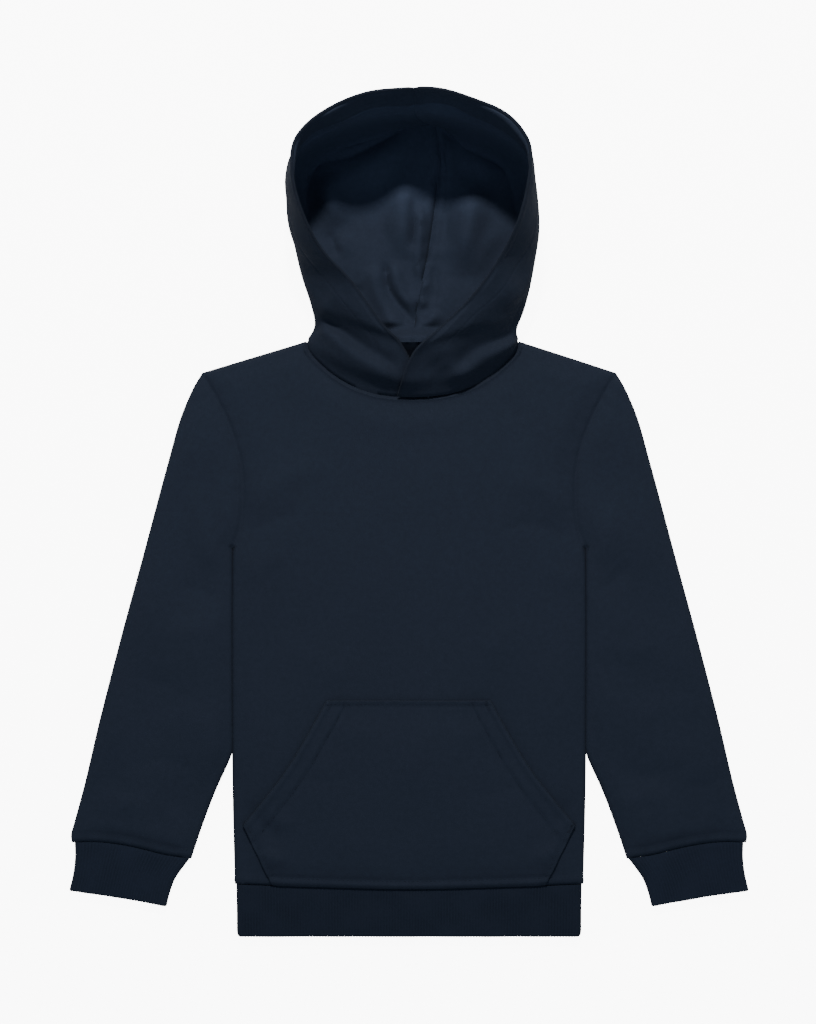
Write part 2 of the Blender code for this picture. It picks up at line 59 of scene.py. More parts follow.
outline = {
    "hemSeam": [(-124.9, 38.2), (-70.0, 36.2), (0.0, 34.6), (70.0, 36.2), (124.9, 38.2)],
    "sideSeam": [(124.9, 38.2), (126.6, 110.0), (127.0, 180.0), (127.1, 230.0),
                 (126.8, 262.0), (126.4, 280.0)],
    "armhole": [(126.4, 280.0), (120.6, 297.0), (119.0, 317.0), (119.9, 338.0), (124.9, 359.0),
                (134.0, 381.0), (148.3, 406.3)],
    "frontNeck": [(76.5, 429.0), (74.0, 421.5), (67.0, 413.5), (56.5, 404.5), (43.0, 396.6),
                  (28.0, 391.4), (14.0, 389.2), (0.0, 388.5)],
    "backNeck": [(76.5, 429.0), (40.0, 427.8), (0.0, 427.5)],
    "sleeveOuter": [(148.3, 406.3), (155.6, 393.8), (164.5, 372.2), (172.6, 343.4), (180.4, 314.6),
                    (191.9, 271.4), (207.5, 213.8), (222.3, 156.2), (232.4, 113.0), (240.1, 84.2),
                    (242.9, 74.0), (242.3, 68.0)],
    "sleeveInner": [(126.2, 270.0), (126.3, 235.0), (126.2, 180.0), (126.0, 140.0), (127.2, 131.0),
                    (131.8, 120.0), (136.7, 109.5), (142.6, 95.0), (148.8, 78.0),
                    (152.4, 67.5), (156.0, 56.4)],
    "cuffSeam": [(156.0, 56.4), (175.0, 59.2), (192.0, 63.4), (209.0, 66.8), (226.0, 68.4),
                 (242.3, 68.0)],
    "cuffTop": [(240.2, 68.2), (226.0, 68.5), (209.0, 66.8), (192.0, 63.4), (175.0, 59.2),
                (157.0, 56.6)],
    "cuffOuter": [(240.2, 68.2), (240.0, 57.0), (241.4, 45.0), (244.2, 33.2)],
    "cuffInner": [(157.0, 56.6), (162.4, 49.6), (167.8, 41.6), (171.6, 31.5), (174.0, 21.7)],
    "cuffEdge": [(244.2, 33.2), (209.5, 28.1), (174.0, 21.7)],
    "bandEdge": [(123.8, 37.9), (123.5, 20.0), (123.4, 3.0), (122.2, 0.0)],
}


def unit(vectors):
    return vectors / np.maximum(np.linalg.norm(vectors, axis=-1, keepdims=True), 1e-9)


def smoothRun(points, steps=12):
    knots = np.array(points, float)
    padded = np.vstack((2 * knots[0] - knots[1], knots, 2 * knots[-1] - knots[-2]))
    t = np.linspace(0.0, 1.0, steps, endpoint=False)[:, None]
    spans = []
    for a, b, c, d in zip(padded, padded[1:], padded[2:], padded[3:]):
        spans.append(0.5 * (2 * b + (c - a) * t + (2 * a - 5 * b + 4 * c - d) * t**2
                            + (3 * b - a - 3 * c + d) * t**3))
    return np.vstack(spans + [knots[-1:]])


def lengths(points):
    return np.concatenate(([0.0], np.cumsum(np.linalg.norm(np.diff(points, axis=0), axis=1))))


def span(run):
    return lengths(run)[-1]


def walk(points, shares):
    along = lengths(points)
    at = np.asarray(shares) * along[-1]
    return np.column_stack([np.interp(at, along, axis) for axis in points.T])


def rolledShares(length, steps, radius=half, turns=rollSteps, end=True):
    # closer steps where an end rolls over
    length = max(length, 3 * radius)
    near = radius * (1 - np.cos(np.radians(np.linspace(0.0, 90.0, turns + 1))))[:-1]
    inside = np.linspace(radius, length - radius if end else length, steps + 1)
    return np.concatenate((near, inside, length - near[::-1] if end else ())) / length


def rolledRun(run, steps, **how):
    return walk(run, rolledShares(span(run), steps, **how))


def beside(run, distance):
    ahead = unit(np.gradient(run, axis=0))  # to the left of the run
    return run + distance * np.column_stack((-ahead[:, 1], ahead[:, 0]))


def mirrored(points):
    return np.array(points, float) * (-1, 1)


def sharesOf(run):
    return lengths(run) / span(run)


def coons(bottom, top, left, right):
    # the grid between four edges
    u = sharesOf(bottom)[None, :, None]
    v = ((sharesOf(left) + sharesOf(right)) / 2)[:, None, None]
    across = (1 - v) * bottom[None] + v * top[None]
    along = (1 - u) * left[:, None] + u * right[:, None]
    return (across + along - (1 - v) * ((1 - u) * bottom[0] + u * bottom[-1])
            - v * ((1 - u) * top[0] + u * top[-1]))


def nearest(runs, points, centre=None):
    # distance to the nearest run, the way out to it, and the length along it
    distance = np.full(points.shape[:-1], np.inf)
    outward = np.zeros(points.shape)
    reached = np.zeros(points.shape[:-1])
    for run in runs:
        along = lengths(run)
        for a, b, start, end in zip(run, run[1:], along, along[1:]):
            if end - start < 1e-9:
                continue
            piece = b - a
            t = np.clip(((points - a) @ piece) / (piece @ piece), 0.0, 1.0)
            away = a + t[..., None] * piece - points
            far = np.linalg.norm(away, axis=-1)
            if centre is not None:
                square = np.array((piece[1], -piece[0]))
                away[far < 1e-6] = square * np.sign(square @ (a - centre))
            closer = far < distance
            distance[closer] = far[closer]
            outward[closer] = away[closer]
            reached[closer] = start + t[closer] * (end - start)
    return distance, unit(outward), reached


def rolledOff(distance, outward):
    # normals that turn outwards near an edge, in a quarter circle
    level = np.clip(1 - distance / half, 0.0, 1.0)[..., None]
    return np.concatenate((outward * level, np.sqrt(1 - level**2)), axis=-1)


def lifted(plan, height):
    return np.concatenate((plan, height[..., None]), axis=-1)


def soft(value, low, high):
    # rises smoothly from 0 at low to 1 at high; ebb falls in the same way
    t = np.clip((value - low) / (high - low), 0.0, 1.0)
    return t * t * (3 - 2 * t)


def ebb(value, low, high):
    return 1 - soft(value, low, high)


def bell(value, width):
    return np.exp(-((value / width) ** 2))


def laidOut(points):
    # from a place on the pattern to one on the table, in metres; each half lies a little wider
    x, (left, right), reach = points[..., 0], garment["ease"], garment["easeReach"]
    wider = right * soft(x, *reach) - left * soft(-x, *reach)
    return (points + np.stack((wider, 0 * x - garment["length"] / 2, 0 * x), axis=-1)) * mm


def waves(points, size, seed, count=9):
    # smooth uneven swell, about -1 to 1
    dice = np.random.default_rng(seed)
    total = np.zeros(points.shape[:-1])
    for _ in range(count):
        angle, phase = dice.uniform(0, 2 * math.pi, 2)
        pace = 2 * math.pi / (size * dice.uniform(0.65, 1.6))
        along = points[..., 0] * math.cos(angle) + points[..., 1] * math.sin(angle)
        total += np.sin(pace * along + phase)
    return total / math.sqrt(count)


def folds(points, rows):
    # round ridges (height above 0) and creased troughs, each tapering at its ends
    total = np.zeros(points.shape[:-1])
    for path, height, width, taper in rows:
        run = smoothRun(path, 8)
        far, _, reached = nearest([run], points[..., :2])
        ends = np.minimum(reached, span(run) - reached)
        shape = bell(far, width) if height > 0 else np.exp((1 - np.hypot(far, 1)) / (0.75 * width))
        total += height * soft(ends, -0.1 * taper, taper) * shape
    return total


def evened(values, times):
    # a mean with the neighbours on both sides, along each axis in turn
    for axis in (0, 1) * times:
        at = np.arange(values.shape[axis])
        near = np.take(values, np.abs(at - 1), axis)
        far = np.take(values, np.minimum(at + 1, at[-1]), axis)
        values = 0.5 * values + 0.25 * (near + far)
    return values


seams = {"width": 2.0, "pitch": 9.0, "reach": 7.0}


def seamDip(points, runs, depth, pucker=0.0, seed=1):
    # the face sinks into a seam, and the thread gathers it a little beside the seam
    far, _, reached = nearest(runs, points[..., :2])
    sunk = -depth * bell(far, seams["width"])
    if pucker:
        beat = waves(lifted(reached[..., None], np.zeros_like(reached)), seams["pitch"], seed)
        sunk += pucker * beat * np.exp(-far / seams["reach"]) * soft(far, 0.2, 2.5)
    return sunk


def stitchLine(points, runs, offset, groove, width=0.8, band=0.0, edge=1.2):
    # the pulled-in line of a topstitch beside a seam, and the padded strip between them
    far, _, _ = nearest(runs, points[..., :2])
    strip = soft(far, 0.3, edge + 0.6) * ebb(far, offset - 0.6, offset + 0.6)
    return band * strip - groove * bell(far - offset, width)


def quadsOf(grid):
    corners = (grid[:-1, :-1], grid[:-1, 1:], grid[1:, 1:], grid[1:, :-1])
    return np.stack([corner.ravel() for corner in corners], axis=1)


def placed(name, data):
    thing = bpy.data.objects.new(name, data)
    bpy.context.scene.collection.objects.link(thing)
    return thing


def makePiece(name, points, quads, caps, uv, material, alias, marks):
    corners = np.concatenate((quads.ravel(), *[np.array(cap, int) for cap in caps])).astype(int)
    used, joined = np.unique(alias[corners], return_inverse=True)
    faces = joined[:quads.size].reshape(-1, 4).tolist()
    at = quads.size
    for cap in caps:
        faces.append(joined[at:at + len(cap)].tolist())
        at += len(cap)
    mesh = bpy.data.meshes.new(name)
    mesh.from_pydata(laidOut(points)[used].tolist(), [], faces)
    layer = mesh.uv_layers.new(name="cloth")
    layer.data.foreach_set("uv", (uv[corners] * mm).astype(np.float32).ravel())
    for label, values in marks.items():
        layer = mesh.attributes.new(label, "FLOAT", "POINT")
        layer.data.foreach_set("value", values[used].astype(np.float32))
    build = bmesh.new()
    build.from_mesh(mesh)
    bmesh.ops.remove_doubles(build, verts=build.verts[:], dist=1e-7)
    bmesh.ops.recalc_face_normals(build, faces=build.faces[:])
    build.to_mesh(mesh)
    build.free()
    mesh.shade_smooth()
    mesh.set_sharp_from_angle(angle=math.radians(55))
    mesh.materials.append(material)
    return placed(name, mesh)


def roundedEnd(row, before, normal, wall):
    out = unit(row - before)
    out = unit(out - (out * normal).sum(-1, keepdims=True) * normal)
    radius = (wall / 2)[:, None]
    centre = row - normal * radius - out * radius
    angles = np.radians(np.linspace(0.0, 180.0, rollSteps + 1))
    return [centre + radius * (normal * math.cos(a) + out * math.sin(a)) for a in angles]


def clothShell(name, outer, normals, wall, material, uv, folded="", joined=None, marks={},
               behindMarks={}, innerLift=0.0):
    # outer and inner faces from one grid; a folded first or last row turns over in a half circle,
    # and from the joined row on each row is a ring
    rows, columns = outer.shape[:2]
    wall = np.broadcast_to(wall, (rows, columns)).astype(float)
    outer, inner = outer.copy(), outer - normals * wall[..., None] + innerLift
    turns = {"first": [], "last": []}
    for end, edge, beyond in (("first", 0, 1), ("last", -1, -2)):
        if end in folded:
            rim = roundedEnd(outer[edge], outer[beyond], normals[edge], wall[edge])
            outer[edge], inner[edge] = rim[0], rim[-1]
            turns[end] = rim[1:-1]
    sheet = np.vstack([outer, *[row[None] for row in turns["last"]], inner[::-1],
                       *[row[None] for row in turns["first"][::-1]]])
    total, lastTurn, firstTurn = len(sheet), len(turns["last"]), len(turns["first"])
    sheetUv = np.vstack([uv, *[uv[-1:]] * lastTurn, uv[::-1], *[uv[:1]] * firstTurn])
    grid = np.arange(total * columns).reshape(total, columns)
    behind = rows + lastTurn + np.arange(rows)[::-1]  # the sheet row behind each outer row
    alias = grid.copy()
    ringFrom = rows if joined is None else joined
    for row in range(ringFrom, rows):
        alias[row, -1], alias[behind[row], -1] = alias[row, 0], alias[behind[row], 0]
    if joined is not None:
        alias[rows:rows + lastTurn, -1] = alias[rows:rows + lastTurn, 0]
    quads, caps = [quadsOf(np.vstack((grid, grid[:1])))], []
    openRows = np.arange(min(ringFrom, rows - 1) + 1)
    for side in (0, -1):
        if len(openRows) > 1:
            quads.append(quadsOf(np.array((grid[openRows, side], grid[behind[openRows], side]))))
        if firstTurn:
            caps.append([grid[behind[0], side], *grid[-firstTurn:, side], grid[0, side]])
    strips = np.array((rows + lastTurn, rows, firstTurn))
    given = {"paleAndPaintedLight": np.repeat((0.0, 1.0, 0.0), strips * columns)}
    for label, values in marks.items():
        hidden = behindMarks.get(label, values * 0)[::-1]
        given[label] = np.vstack((values, values[-1:].repeat(lastTurn, 0), hidden,
                                  values[:1].repeat(firstTurn, 0))).ravel()
    return makePiece(name, sheet.reshape(-1, 3), np.vstack(quads), caps, sheetUv.reshape(-1, 2),
                     material, alias.ravel(), given)


def surfaceUv(grid):
    across = np.linalg.norm(np.diff(grid, axis=1, prepend=grid[:, :1]), axis=-1)
    down = np.linalg.norm(np.diff(grid, axis=0, prepend=grid[:1]), axis=-1)
    return np.stack((across.cumsum(axis=1), down.cumsum(axis=0)), axis=-1)


def gridNormals(grid):
    return unit(np.cross(np.gradient(grid, axis=0), np.gradient(grid, axis=1)))


def alongRows(grid):
    return np.array([lengths(row) for row in grid])


def alongColumns(grid):
    return alongRows(grid.transpose(1, 0, 2)).T


# Shader groups: each works in metres on the "cloth" UV map or on object coordinates.
def newGroup(name, inputs, outputs, treeKind="ShaderNodeTree"):
    # a tree, the sockets that it is given, and the sockets that it puts out
    tree = bpy.data.node_groups.new(name, treeKind)
    for label, kind, value in inputs:
        socket = tree.interface.new_socket(label, in_out="INPUT", socket_type="NodeSocket" + kind)
        if value is not None:
            socket.default_value = value
    for label, kind in outputs:
        tree.interface.new_socket(label, in_out="OUTPUT", socket_type="NodeSocket" + kind)
    return tree, tree.nodes.new("NodeGroupInput").outputs, tree.nodes.new("NodeGroupOutput").inputs


def node(tree, kind, values={}, **settings):
    made = tree.nodes.new(kind)
    for key, value in settings.items():
        setattr(made, key, value)
    for key, value in values.items():
        if isinstance(value, bpy.types.NodeSocket):
            tree.links.new(value, made.inputs[key])
        else:
            made.inputs[key].default_value = value
    return made


def calc(tree, operation, *values):
    # a value may be a sum of its own, as a tuple of its operation and values
    values = [calc(tree, *value) if isinstance(value, tuple) else value for value in values]
    return node(tree, "ShaderNodeMath", dict(enumerate(values)), operation=operation).outputs[0]


def noise(tree, place, scale, detail, roughness=0.5, distortion=0.0):
    made = node(tree, "ShaderNodeTexNoise", {"Vector": place, "Scale": scale, "Detail": detail,
                                             "Roughness": roughness, "Distortion": distortion})
    return made.outputs["Fac"]


heightAndTone = [("Height", "Float"), ("Tone", "Float")]


def knitGroup():
    # plain knit: columns of small slanted loops, a V in each
    tree, given, out = newGroup("knitLoops", [
        ("Coordinates", "Vector", None), ("Column", "Float", 0.0011), ("Row", "Float", 0.0008),
    ], heightAndTone)
    parts = node(tree, "ShaderNodeSeparateXYZ", {"Vector": given["Coordinates"]})
    drift = noise(tree, given["Coordinates"], 90.0, 2.0)
    x = ("DIVIDE", parts.outputs["X"], given["Column"])
    y = ("DIVIDE", parts.outputs["Y"], given["Row"])
    # 0 at a column's middle, 0.5 at its edge
    across = calc(tree, "PINGPONG", ("ADD", x, ("MULTIPLY", drift, 0.7)), 0.5)
    slant = ("ADD", y, ("MULTIPLY", across, 1.3))
    loop = ("MULTIPLY", ("PINGPONG", slant, 0.5), 2.0)
    arm = ("SINE", ("MULTIPLY", across, 2 * math.pi))
    height = calc(tree, "MULTIPLY", ("POWER", ("MAXIMUM", arm, 0.0), 0.6),
                  ("ADD", ("MULTIPLY", loop, 0.6), 0.4))
    tree.links.new(height, out["Height"])
    # painted shade: the tone follows the loops' height, darker in the gaps between them and lighter
    # on their tops
    tree.links.new(calc(tree, "ADD", ("MULTIPLY", height, 0.3), 0.85), out["Tone"])
    return tree


def napGroup():
    # brushed nap: short soft fibres that lie roughly one way, in loose clumps
    tree, given, out = newGroup("brushedNap", [
        ("Coordinates", "Vector", None), ("Clump", "Float", 260.0), ("Fibre", "Float", 2600.0),
    ], heightAndTone)
    place = given["Coordinates"]
    lean = node(tree, "ShaderNodeMapping", {"Vector": place, "Rotation": (0.0, 0.0, 0.35),
                                            "Scale": (1.0, 0.38, 1.0)})
    fibre = noise(tree, lean.outputs[0], given["Fibre"], 2.0, 0.6, 0.4)
    clump = noise(tree, place, given["Clump"], 3.0, 0.65)
    height = calc(tree, "ADD", ("MULTIPLY", fibre, 0.45), ("MULTIPLY", clump, 0.55))
    tree.links.new(height, out["Height"])
    tone = calc(tree, "ADD", ("MULTIPLY", ("SUBTRACT", height, 0.5), 0.55), 1.0)
    tree.links.new(tone, out["Tone"])
    return tree


def fadeGroup():
    # slow uneven shade of dyed and washed cloth, with sparse paler lint
    tree, given, out = newGroup("washedShade", [
        ("Coordinates", "Vector", None), ("Strength", "Float", 0.12), ("Lint", "Float", 0.5),
    ], [("Tone", "Float")])
    broad, close, specks = (noise(tree, given["Coordinates"], scale, detail)
                            for scale, detail in ((14.0, 3.0), (95.0, 2.0), (700.0, 1.0)))
    sway = ("SUBTRACT", ("ADD", ("MULTIPLY", broad, 0.6), ("MULTIPLY", close, 0.4)), 0.5)
    lint = ("MULTIPLY", ("MAXIMUM", ("SUBTRACT", specks, 0.68), 0.0),
            ("MULTIPLY", given["Lint"], 6.0))
    tone = ("ADD", ("MULTIPLY", sway, ("MULTIPLY", given["Strength"], 2.0)), 1.0)
    tree.links.new(calc(tree, "ADD", tone, lint), out["Tone"])
    return tree


knitLoops, brushedNap, washedShade = knitGroup(), napGroup(), fadeGroup()


def clothMaterial(name, look):
    material = bpy.data.materials.new(name)
    material.use_nodes = True
    tree = material.node_tree
    shader = tree.nodes["Principled BSDF"]
    for label, value in (
            ("Metallic", 0.0), ("Sheen Weight", look["sheen"]), ("Sheen Roughness", 0.45),
            ("Sheen Tint", look["sheenTint"]), ("Specular IOR Level", look["specular"])):
        shader.inputs[label].default_value = value
    uv = node(tree, "ShaderNodeUVMap", uv_map="cloth").outputs["UV"]
    place = node(tree, "ShaderNodeTexCoord").outputs["Object"]
    knit, nap, shade = (
        node(tree, "ShaderNodeGroup", {"Coordinates": source, **dict(zip(labels, look[key]))},
             node_tree=group)
        for group, source, key, labels in (
            (knitLoops, uv, "knit", ("Column", "Row")),
            (brushedNap, place, "nap", ("Clump", "Fibre")),
            (washedShade, place, "shade", ("Strength", "Lint"))))
    paleAndPaintedLight = node(tree, "ShaderNodeAttribute", attribute_name="paleAndPaintedLight").outputs["Fac"]
    tone = ("MULTIPLY", nap.outputs["Tone"], shade.outputs["Tone"])
    tone = ("MULTIPLY", knit.outputs["Tone"], tone)
    # painted shade: the rib's grooves are painted darker, by the groove depth that the rib tree
    # stores
    if "groove" in look:
        groove = node(tree, "ShaderNodeAttribute", attribute_name="groove").outputs["Fac"]
        tone = ("MULTIPLY", tone, ("SUBTRACT", 1.0, ("MULTIPLY", groove, look["groove"])))
    # the inside's own paler colour, together with the hood's painted fill light and painted shade,
    # which share this attribute
    tone = calc(tree, "MULTIPLY", tone, ("ADD", ("MULTIPLY", paleAndPaintedLight, look["paler"]), 1.0))
    colour = node(tree, "ShaderNodeVectorMath", {0: look["colour"], "Scale": tone},
                  operation="SCALE")
    tree.links.new(colour.outputs[0], shader.inputs["Base Color"])
    rough = calc(tree, "SUBTRACT", look["rough"] + 0.04, ("MULTIPLY", nap.outputs["Height"], 0.08))
    tree.links.new(rough, shader.inputs["Roughness"])
    relief = calc(tree, "ADD", ("MULTIPLY", knit.outputs["Height"], look["relief"][0]),
                  ("MULTIPLY", nap.outputs["Height"], look["relief"][1]))
    bump = node(tree, "ShaderNodeBump", {"Height": relief, "Strength": 0.6, "Distance": 0.001})
    tree.links.new(bump.outputs[0], shader.inputs["Normal"])
    return material


looks = {
    "fleece": {
        "colour": (0.0129, 0.0186, 0.0336), "rough": 0.9, "sheen": 0.045, "specular": 0.2,
        "sheenTint": (0.30, 0.36, 0.45, 1.0), "knit": (0.00115, 0.00085), "nap": (260.0, 2600.0),
        "shade": (0.07, 0.2), "paler": 0.42, "relief": (0.10, 0.30),
    },
    "ribKnit": {
        "colour": (0.0084, 0.0134, 0.0266), "rough": 0.92, "sheen": 0.04, "specular": 0.22,
        "sheenTint": (0.28, 0.33, 0.42, 1.0), "knit": (0.0010, 0.0009), "nap": (420.0, 3200.0),
        # painted shade: "groove" is how much darker the rib's grooves are painted
        "shade": (0.10, 0.2), "paler": 0.14, "relief": (0.14, 0.12), "groove": 0.12,
    },
    "thread": {
        "colour": (0.0078, 0.0118, 0.0225), "rough": 0.8, "sheen": 0.0, "specular": 0.2,
        "sheenTint": (0.3, 0.36, 0.45, 1.0), "knit": (0.0006, 0.0003), "nap": (900.0, 5200.0),
        "shade": (0.08, 0.0), "paler": 0.0, "relief": (0.04, 0.05),
    },
}
fleece, ribKnit, thread = (clothMaterial(name, look) for name, look in looks.items())
print("materials made")


def neckline(points):
    right = smoothRun(points)
    return np.vstack((mirrored(right)[:-1], right[::-1])) + (garment["neckShift"], 0.0)


def shoulderSeam(side):
    x, y = outline["frontNeck"][0]
    return np.array((outline["armhole"][-1], (x + side * garment["neckShift"], y))) * (side, 1)


sideSeams = [smoothRun(outline["sideSeam"]) * (side, 1) for side in (-1, 1)]
armholes = [smoothRun(outline["armhole"]) * (side, 1) for side in (-1, 1)]
shoulders = [shoulderSeam(side) for side in (-1, 1)]
hemSeam = smoothRun(outline["hemSeam"])
frontNeck, backNeck = neckline(outline["frontNeck"]), neckline(outline["backNeck"])

body = {
    "front": {"side": 90, "armhole": 50, "shoulder": 24, "neck": 72},
    "back": {"side": 62, "armhole": 36, "shoulder": 16, "neck": 44},
    "crown": 1.5, "swell": 0.9, "swellSize": 105.0, "swellReach": 18, "foldReach": 7,
    "hollow": 0.7, "hollowSize": 110, "backReach": 12,
    "dip": 1.15, "puckers": 0.22, "hemStitch": 5.8, "neckStitch": 3.6,
    "napeRoll": (17.5, 17.0, 40.0),   # height, width, reach to each side
    "folds": [   # path, height, width, length of each tapering end
        ([(-119, 303), (-101, 322), (-78, 334), (-52, 338)], 1.5, 10, 26),
        ([(-121, 288), (-99, 300), (-72, 306)], -1.3, 8, 20),
        ([(-125, 262), (-106, 268), (-90, 281)], 1.0, 8, 16),
        ([(120, 300), (96, 322), (66, 331)], 1.4, 10, 24),
        ([(122, 284), (104, 293), (84, 297), (62, 291)], -1.2, 8, 22),
        ([(126, 255), (110, 259), (97, 270)], 0.9, 7, 14),
        ([(-46, 378), (-12, 369), (22, 371), (47, 380)], 1.0, 9, 24),
        ([(-62, 392), (-74, 372), (-80, 350)], -0.8, 9, 20),
        ([(66, 394), (80, 370), (83, 344)], -0.9, 9, 22),
        ([(3, 345), (-4, 280), (5, 205)], -0.9, 22, 50),
        ([(-118, 100), (-108, 84), (-99, 76), (-92, 66)], -1.4, 7, 12),
        ([(-112, 66), (-101, 58), (-88, 54)], 1.0, 7, 10),
        ([(118, 102), (108, 86), (101, 76)], -1.2, 7, 12),
        ([(112, 64), (100, 57), (90, 53)], 0.9, 7, 10),
        ([(-96, 214), (-60, 196), (-24, 193)], 0.8, 12, 30),
        ([(92, 232), (62, 208), (40, 200)], 0.8, 12, 28),
    ],
    "backFolds": [
        ([(-70, 330), (-20, 318), (34, 326)], -0.9, 12, 30),
        ([(-98, 140), (-64, 152), (-30, 150)], -0.8, 10, 24),
        ([(88, 180), (60, 168), (36, 172)], -0.7, 9, 20),
        ([(64, 90), (80, 104), (101, 108)], -0.8, 9, 18),
    ],
}
frontRuns = sideSeams + armholes + shoulders + [frontNeck, hemSeam]


def bodyTop(neck, steps, inset, leftEnd, rightEnd):
    run = beside(neck, -inset)
    run = run[nearest(shoulders, run)[0] >= inset]
    ends = []
    for end, corner in ((leftEnd, run[0]), (rightEnd, run[-1])):
        line = np.array((end, corner))
        ends.append(rolledRun(line, steps["shoulder"], end=False))
    across = rolledRun(run, steps["neck"])
    return np.vstack((ends[0], across[1:-1], ends[1][::-1]))


def bodyPlan(neck, steps):
    side = walk(sideSeams[1], np.linspace(0.0, 1.0, steps["side"] + 1))
    armhole = rolledRun(armholes[1], steps["armhole"])
    right = np.vstack((side[:-1], armhole))
    left = mirrored(right)
    inset = span(armhole) - lengths(armhole)
    tops = [bodyTop(neck, steps, inset[-back], left[-back], right[-back])
            for back in range(rollSteps + 1, 0, -1)]
    across = tops[0][:, 0]
    bottom = walk(hemSeam, (across - across[0]) / (across[-1] - across[0]))
    return np.vstack((coons(bottom, tops[0], left[:-rollSteps], right[:-rollSteps]), tops[1:]))


def frontRelief(points):
    far = nearest(frontRuns, points)[0]
    swell = body["crown"] + body["swell"] * waves(points, body["swellSize"], 4)
    creases = soft(far, 0, body["foldReach"]) * folds(points, body["folds"])
    return soft(far, 0, body["swellReach"]) * swell + creases


def rolledFace(plan, edges, centre, facing):
    # one face of a flat tube that rolls over at its edges, and its normals
    normals = rolledOff(*nearest(edges, plan, centre)[:2])
    return lifted(plan, half + facing * half * normals[..., 2]), normals * (1, 1, facing)


def bodyPanel(name, neck, steps, facing):
    plan = bodyPlan(neck, steps)
    outer, normals = rolledFace(plan, sideSeams + shoulders, middle, facing)
    inner = np.zeros(outer.shape)
    sunk = seamDip(plan, armholes + [neck, hemSeam], body["dip"], body["puckers"], seed=3)
    sunk += stitchLine(plan, [hemSeam], body["hemStitch"], groove=0.85, band=1.0)
    sunk += stitchLine(plan, [neck], body["neckStitch"], groove=0.5, band=1.2)
    if facing > 0:
        relief = frontRelief(plan)
        sunk = np.where(np.abs(normals[..., 2]) > 0.5, sunk, 0.0)
    else:
        far = nearest(sideSeams + armholes + shoulders + [neck, hemSeam], plan)[0]
        hollow = body["hollow"] * np.maximum(waves(plan, body["hollowSize"], 9) - 0.2, 0)
        relief = soft(far, 0, body["backReach"]) * (folds(plan, body["backFolds"]) - hollow)
        sunk = np.minimum(sunk, 0.0)
        high, wide, reach = body["napeRoll"]   # the back neck's cloth stands bunched in the throat
        rise = high * np.clip(1 - nearest([neck], plan)[0] / wide, 0, 1)
        inner[..., 2] = rise * ebb(np.abs(plan[..., 0] - garment["neckShift"]), 0.5 * reach, reach)
    outer = outer + normals * (relief + sunk)[..., None]
    return clothShell(name, outer, normals, garment["wall"] + sunk, fleece, plan, innerLift=inner)


frontBody = bodyPanel("frontPanel", frontNeck, body["front"], 1)
backBody = bodyPanel("backPanel", backNeck, body["back"], -1)
print("body made")


def flatTube(plan, edges, centre):
    (top, up), (bottom, down) = (rolledFace(plan, edges, centre, facing) for facing in (1, -1))
    return np.hstack((top, bottom[:, -2::-1])), np.hstack((up, down[:, -2::-1]))


sleeve = {
    "armhole": 52, "across": 32, "down": 112, "cap": 0.33, "middle": (185.0, 220.0),
    "crown": 2.0, "swell": 1.0, "swellSize": 80.0, "swellReach": 14, "foldReach": 6,
    "hollow": 0.5, "hollowSize": 90, "underReach": 12,
    "dip": 1.15, "puckers": 0.3, "cuffStitch": 5.8,
    "left": [
        ([(136, 262), (147, 283), (152, 306), (150, 328)], 1.3, 8, 18),
        ([(131, 240), (150, 250), (168, 252)], -1.1, 7, 14),
        ([(133, 218), (152, 223), (176, 216)], 1.0, 9, 16),
        ([(170, 300), (160, 330), (152, 352)], -0.8, 8, 18),
        ([(140, 150), (162, 158), (190, 150)], 0.8, 10, 18),
        ([(150, 118), (176, 128), (206, 122)], -0.9, 9, 18),
        ([(196, 190), (178, 182), (160, 184)], -0.7, 9, 14),
        ([(226, 104), (204, 96), (182, 98)], 0.8, 7, 14),
    ],
    "right": [
        ([(134, 268), (143, 290), (146, 314)], 1.2, 8, 16),
        ([(132, 246), (148, 258), (160, 272)], -1.2, 7, 14),
        ([(131, 214), (156, 206), (182, 210)], 0.9, 9, 18),
        ([(172, 318), (158, 340), (148, 366)], -0.8, 8, 18),
        ([(214, 160), (188, 166), (158, 158)], 0.8, 10, 20),
        ([(146, 124), (170, 116), (200, 124)], -0.9, 9, 18),
        ([(232, 122), (214, 110), (194, 108)], -0.7, 8, 12),
        ([(152, 96), (172, 102), (190, 96)], 0.8, 6, 12),
    ],
    # x at the cuff seam, length up the sleeve in widths, height
    "gathers": [(166, 8, 0.7), (177, 6, -0.5), (187, 10, 0.8), (199, 7, -0.5), (211, 9, 0.7),
                (222, 6, -0.4), (231, 8, 0.5)],
    "gatherWidth": 3.4, "gatherTaper": 12,
    "under": [
        ([(140, 246), (158, 262), (180, 268)], -1.0, 8, 16),
        ([(142, 150), (168, 160), (198, 152)], -0.9, 9, 20),
        ([(160, 100), (184, 108), (212, 104)], -0.8, 8, 14),
    ],
}


